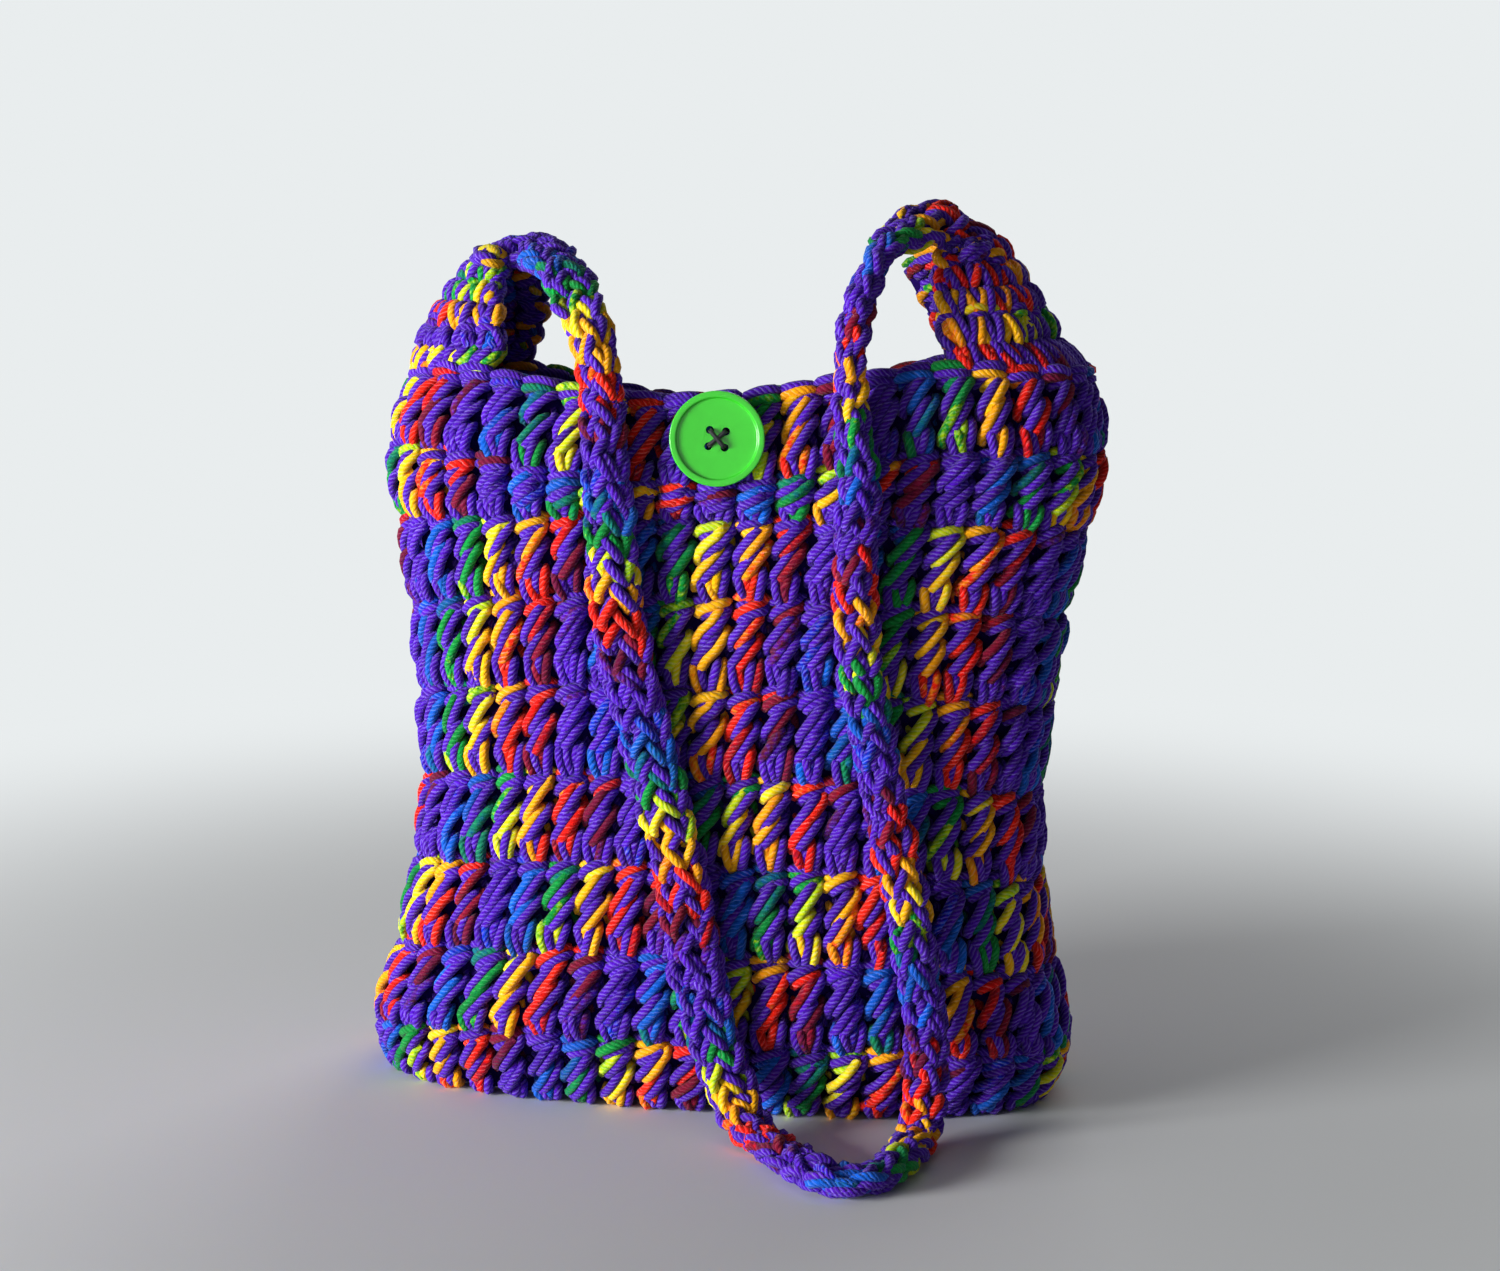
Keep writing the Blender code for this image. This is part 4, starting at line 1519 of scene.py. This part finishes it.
def apply_bevel(piece: Object, width: float, segments: int, degrees: float) -> None:
    """Rounds every edge of a piece that is sharper than an angle.

    Args:
        piece: The piece.
        width: How wide the rounding is.
        segments: How many faces it has.
        degrees: The angle.
    """
    bevel = piece.modifiers.new("rounding", "BEVEL")
    bevel.width, bevel.segments, bevel.limit_method = width, segments, "ANGLE"
    bevel.angle_limit = math.radians(degrees)
    apply_modifier(piece, bevel)


@dataclass
class Button:
    """The moulded button on the front and the thread that crosses it. Its own frame has the back
    at z = 0 and the face towards +Z. A rounding has its width, its faces and the least angle that
    it rounds. A bundle has three threads, each this far aside and above in its own radii, and a
    second bundle crosses over the first. A thread starts a share of the lift below the button's
    back, comes up its hole and bends over at these steps, out from the hole and down from its top.
    Where it crosses the middle it lies a little closer to its bundle."""

    form: BodyForm
    diameter: float = 34.0 * MM
    thickness: float = 4.2 * MM
    rim: float = 2.6 * MM
    dish: float = 1.1 * MM
    hole: float = 2.8 * MM
    hole_spacing: float = 5.8 * MM
    turn: float = math.radians(7.0)
    lean: float = math.radians(6.0)
    spin: float = math.radians(-5.0)
    aside: float = 11.0 * MM
    drop: float = 13.5 * MM
    lift: float = 2.5 * MM
    steps: int = 96
    slope: float = 0.30 * MM
    hollow: float = 0.28 * MM
    hollow_steps: tuple[float, ...] = (0.25, 0.4, 0.5)
    rounding: tuple[float, int, float] = (0.50 * MM, 5, 40.0)
    hole_rounding: tuple[float, int, float] = (0.22 * MM, 3, 60.0)
    hole_steps: int = 32
    smooth: float = math.radians(22.0)
    upright: float = 0.9
    thread: float = 0.41 * MM
    thread_sides: int = 8
    thread_seed: int = 5
    threads: tuple[tuple[float, float], ...] = ((-1.02, 0.2), (1.02, 0.3), (0.0, 1.3))
    thread_bend: float = 1.4
    thread_steps: int = 25
    thread_foot: float = 0.88
    thread_sink: float = 0.6
    thread_over: float = 1.5
    thread_crown: float = 0.3
    thread_gather: float = 0.9
    hole_slack: tuple[float, float] = (0.9, 0.4)
    hole_depth: float = 2.5
    bends: tuple[tuple[float, float], ...] = ((0.3, 1.5), (1.6, 0.25))
    bundle_rise: float = 1.6

    def place(self) -> Matrix:
        """Finds where the button sits.

        Returns:
            What takes its own frame to the bag's front.
        """
        point, _ = self.form.on_front(self.aside, self.form.height - self.form.sag - self.drop)
        turn, spin = (Matrix.Rotation(angle, 4, "Z") for angle in (self.turn, self.spin))
        tilted = turn @ Matrix.Rotation(math.pi / 2 - self.lean, 4, "X")
        out = tilted @ Vector((0, 0, self.lift))
        return Matrix.Translation(Vector(point) + out) @ tilted @ spin

    def build(self, finish: ButtonFinish) -> Object:
        """Turns, dishes, rounds and bores the button.

        Args:
            finish: Its plastic.

        Returns:
            The button.
        """
        bpy.ops.object.select_all(action="DESELECT")
        bpy.ops.mesh.primitive_cylinder_add(
            vertices=self.steps,
            radius=self.diameter / 2,
            depth=self.thickness,
            location=(0, 0, self.thickness / 2),
        )
        button = bpy.context.object
        button.name = "moulded_button"
        bpy.ops.object.transform_apply(location=True, rotation=False, scale=False)
        select_faces(button, lambda face: face.normal.z > self.upright)
        bpy.ops.mesh.inset(thickness=self.rim - self.slope)
        bpy.ops.mesh.inset(thickness=self.slope, depth=-self.dish)
        for share in self.hollow_steps:
            reach = (self.diameter / 2 - self.rim) * share
            bpy.ops.mesh.inset(thickness=reach / 2, depth=-self.hollow / len(self.hollow_steps))
        bpy.ops.object.mode_set(mode="OBJECT")
        apply_bevel(button, *self.rounding)
        half = self.hole_spacing / 2
        for x, y in ((-half, -half), (-half, half), (half, -half), (half, half)):
            bpy.ops.object.select_all(action="DESELECT")
            bpy.ops.mesh.primitive_cylinder_add(
                vertices=self.hole_steps,
                radius=self.hole / 2,
                depth=3 * self.thickness,
                location=(x, y, 0),
            )
            drill = bpy.context.object
            cut = button.modifiers.new("hole", "BOOLEAN")
            cut.operation, cut.object, cut.solver = "DIFFERENCE", drill, "EXACT"
            apply_modifier(button, cut)
            bpy.data.objects.remove(drill, do_unlink=True)
        apply_bevel(button, *self.hole_rounding)
        bpy.ops.object.shade_smooth_by_angle(angle=self.smooth)
        button.data.transform(self.place())
        return dress(button, button_material(finish), Part.BUTTON)

    def thread_path(self, bundle: int, aside: float, above: float) -> Array:
        """The middle line of one thread, from left to right in the button's own frame.

        Args:
            bundle: None for the lower bundle and one for the upper.
            aside: How far aside in its bundle the thread lies, in its own radii.
            above: How far above the button's face.

        Returns:
            Close points, up through one hole and down through the one opposite.
        """
        face = self.thickness - self.dish - self.hollow * self.thread_sink
        top = face + self.thread * (self.thread_over + above + self.bundle_rise * bundle)
        bend, side = self.thread_bend * self.thread, aside * self.thread
        slack, level = self.hole_slack
        left = -(self.hole_spacing / math.sqrt(2) - slack * self.thread * (above - level))
        rising = (
            (left, side, self.thread - self.thread_foot * self.lift),
            (left, side, face - self.hole_depth * bend),
            *((left + out * bend, side, top - down * bend) for out, down in self.bends),
        )
        middle = (0.0, side * self.thread_gather, top + self.thread_crown * self.thread)
        falling = [(-x, y, z) for x, y, z in rising[::-1]]
        control = np.array([*rising, middle, *falling])
        return smooth_between(control, np.linspace(0, len(control) - 1, self.thread_steps))

    def build_thread(self, finish: ThreadFinish) -> Object:
        """Sews the button on with two crossed bundles of thread.

        Args:
            finish: The thread's own finish.

        Returns:
            The thread, as one piece.
        """
        strands = Strands("thread_cross", Part.THREAD, sides=self.thread_sides)
        rng = np.random.default_rng(self.thread_seed)
        for bundle, angle in enumerate((math.pi / 4, 3 * math.pi / 4)):
            place = np.array(self.place() @ Matrix.Rotation(angle, 4, "Z"))
            for aside, above in self.threads:
                path = self.thread_path(bundle, aside, above) @ place[:3, :3].T + place[:3, 3]
                ups = np.tile(place[:3, 1], (1, len(path), 1))
                strands.add(path[None], ups, self.thread, np.zeros(1), Dye.PLAIN, rng)
        return strands.build(thread_material(finish))


@dataclass(frozen=True)
class Lamp:
    """A square soft box: its place, its side in metres and its power in watts."""

    name: str
    place: tuple[float, float, float]
    size: float
    power: float


@dataclass
class Studio:
    """The camera at the photograph's angle, soft lamps turned to the middle of the bag, and a pale
    floor. The world is a pale backdrop to the eye and a weak fill to the bag."""

    finish: FloorFinish = FloorFinish()
    azimuth: float = math.radians(10.0)
    pitch: float = math.radians(9.06)
    distance: float = 0.928
    aside: float = -0.0131
    eye: float = 0.32
    lens: float = 58.8
    sensor: float = 36.0
    lamps: tuple[Lamp, ...] = (
        Lamp("key", (-1.54, -1.15, 0.33), 0.7, 58.5),
        Lamp("fill", (-0.4, -2.0, 0.6), 1.6, 1.4),
        Lamp("top", (-0.3, 0.3, 1.9), 1.4, 2.6),
        Lamp("back", (0.4, 2.0, 0.9), 1.4, 16.0),
    )
    lit_height: float = 0.15
    ambient: float = 0.032
    floor_radius: float = 9.0
    floor_steps: int = 64

    def add_camera(self) -> None:
        """Stands the camera where the photograph's outlines put it."""
        forward = Vector((-math.sin(self.azimuth), math.cos(self.azimuth), 0))
        right = Vector((math.cos(self.azimuth), math.sin(self.azimuth), 0))
        camera = bpy.data.cameras.new("camera")
        camera.lens, camera.sensor_width, camera.sensor_fit = self.lens, self.sensor, "HORIZONTAL"
        stand = bpy.data.objects.new("camera", camera)
        stand.location = -forward * self.distance - right * self.aside + Vector((0, 0, self.eye))
        stand.rotation_euler = (math.pi / 2 - self.pitch, 0, self.azimuth)
        bpy.context.scene.collection.objects.link(stand)
        bpy.context.scene.camera = stand

    def add_lamps(self) -> None:
        """Stands the lamps round the bag."""
        for lamp in self.lamps:
            light = bpy.data.lights.new(lamp.name, "AREA")
            light.size, light.energy = lamp.size, lamp.power
            stand = bpy.data.objects.new(lamp.name, light)
            stand.location = lamp.place
            aim = Vector((0, 0, self.lit_height)) - Vector(lamp.place)
            stand.rotation_euler = aim.to_track_quat("-Z", "Y").to_euler()
            bpy.context.scene.collection.objects.link(stand)

    def seen_by_eye(self, tree: NodeTree) -> Node:
        """Tells what the camera sees, also in a mirror or through glass, from what lights the bag.

        Args:
            tree: The node tree that asks.

        Returns:
            A node that gives one for what is seen, and else zero.
        """
        rays = add_node(tree, "LightPath").outputs
        seen = {0: rays["Is Camera Ray"], 1: rays["Is Glossy Ray"]}
        glossy = add_node(tree, "Math", seen, operation="MAXIMUM")
        return add_node(tree, "Math", {0: glossy, 1: rays["Is Transmission Ray"]}, operation="MAXIMUM")

    def add_floor(self) -> None:
        """A round floor. The camera sees it fade, away from the bag, into the backdrop."""
        finish = self.finish
        material, shader = new_material("studio_floor", roughness=finish.roughness)
        tree = material.node_tree
        shader.inputs["Base Color"].default_value = linear(finish.colour)
        place = add_node(tree, "TexCoord").outputs["Object"]
        away = add_node(tree, "VectorMath", {0: place}, operation="LENGTH").outputs["Value"]
        reach = {"Value": away, "From Min": finish.fade[0], "From Max": finish.fade[1]}
        fade = add_node(tree, "MapRange", reach, interpolation_type="SMOOTHERSTEP")
        seen = add_node(tree, "Math", {0: fade, 1: self.seen_by_eye(tree)}, operation="MULTIPLY")
        glow = add_node(tree, "Emission", {"Color": linear(finish.backdrop), "Strength": 1.0})
        mixed = add_node(tree, "MixShader", {0: seen, 1: shader, 2: glow})
        tree.links.new(mixed.outputs[0], tree.nodes["Material Output"].inputs["Surface"])
        bpy.ops.object.select_all(action="DESELECT")
        bpy.ops.mesh.primitive_circle_add(
            vertices=self.floor_steps, radius=self.floor_radius, fill_type="NGON", location=(0, 0, 0)
        )
        floor = bpy.context.object
        floor.name = "studio_floor"
        floor.data.materials.append(material)

    def add_world(self) -> None:
        """Hangs the backdrop."""
        world = bpy.data.worlds.new("studio")
        world.use_nodes = True
        tree = world.node_tree
        background = tree.nodes["Background"]
        background.inputs["Color"].default_value = linear(self.finish.backdrop)
        levels = {0: self.seen_by_eye(tree), 1: 1.0 - self.ambient, 2: self.ambient}
        strength = add_node(tree, "Math", levels, operation="MULTIPLY_ADD")
        tree.links.new(strength.outputs[0], background.inputs["Strength"])
        bpy.context.scene.world = world


def main() -> None:
    """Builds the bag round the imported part, and reports each piece."""
    logging.basicConfig(level=logging.INFO, format="%(message)s")
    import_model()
    bpy.context.scene.view_settings.view_transform = "Standard"
    studio = Studio()
    studio.add_camera()
    studio.add_floor()
    studio.add_lamps()
    studio.add_world()
    finish, form = YarnFinish(), BodyForm()
    yarn, inside = yarn_material(finish), shaded_inner_yarn_material(finish)
    work = Needlework(yarn, inside)
    body = Body(form, work)
    body.build_core()
    for level in range(form.rounds):
        body.build_round(level)
    body.build_inner_face()
    route = StrapForm(form)
    slack_work = Needlework(
        yarn, inside, strand=1.88 * MM, spread=2.6 * MM, stack=0.5, turning=0.8, twist=1.2
    )
    strap = Strap(route, slack_work)
    strap.build()
    strap.build_core()
    for plan in (LEFT_TAB, RIGHT_TAB):
        tab = Tab(TabForm(form, route, plan), work)
        tab.build()
        tab.build_core()
    button = Button(form)
    button.build(ButtonFinish())
    button.build_thread(ThreadFinish())


if __name__ == "__main__":
    main()
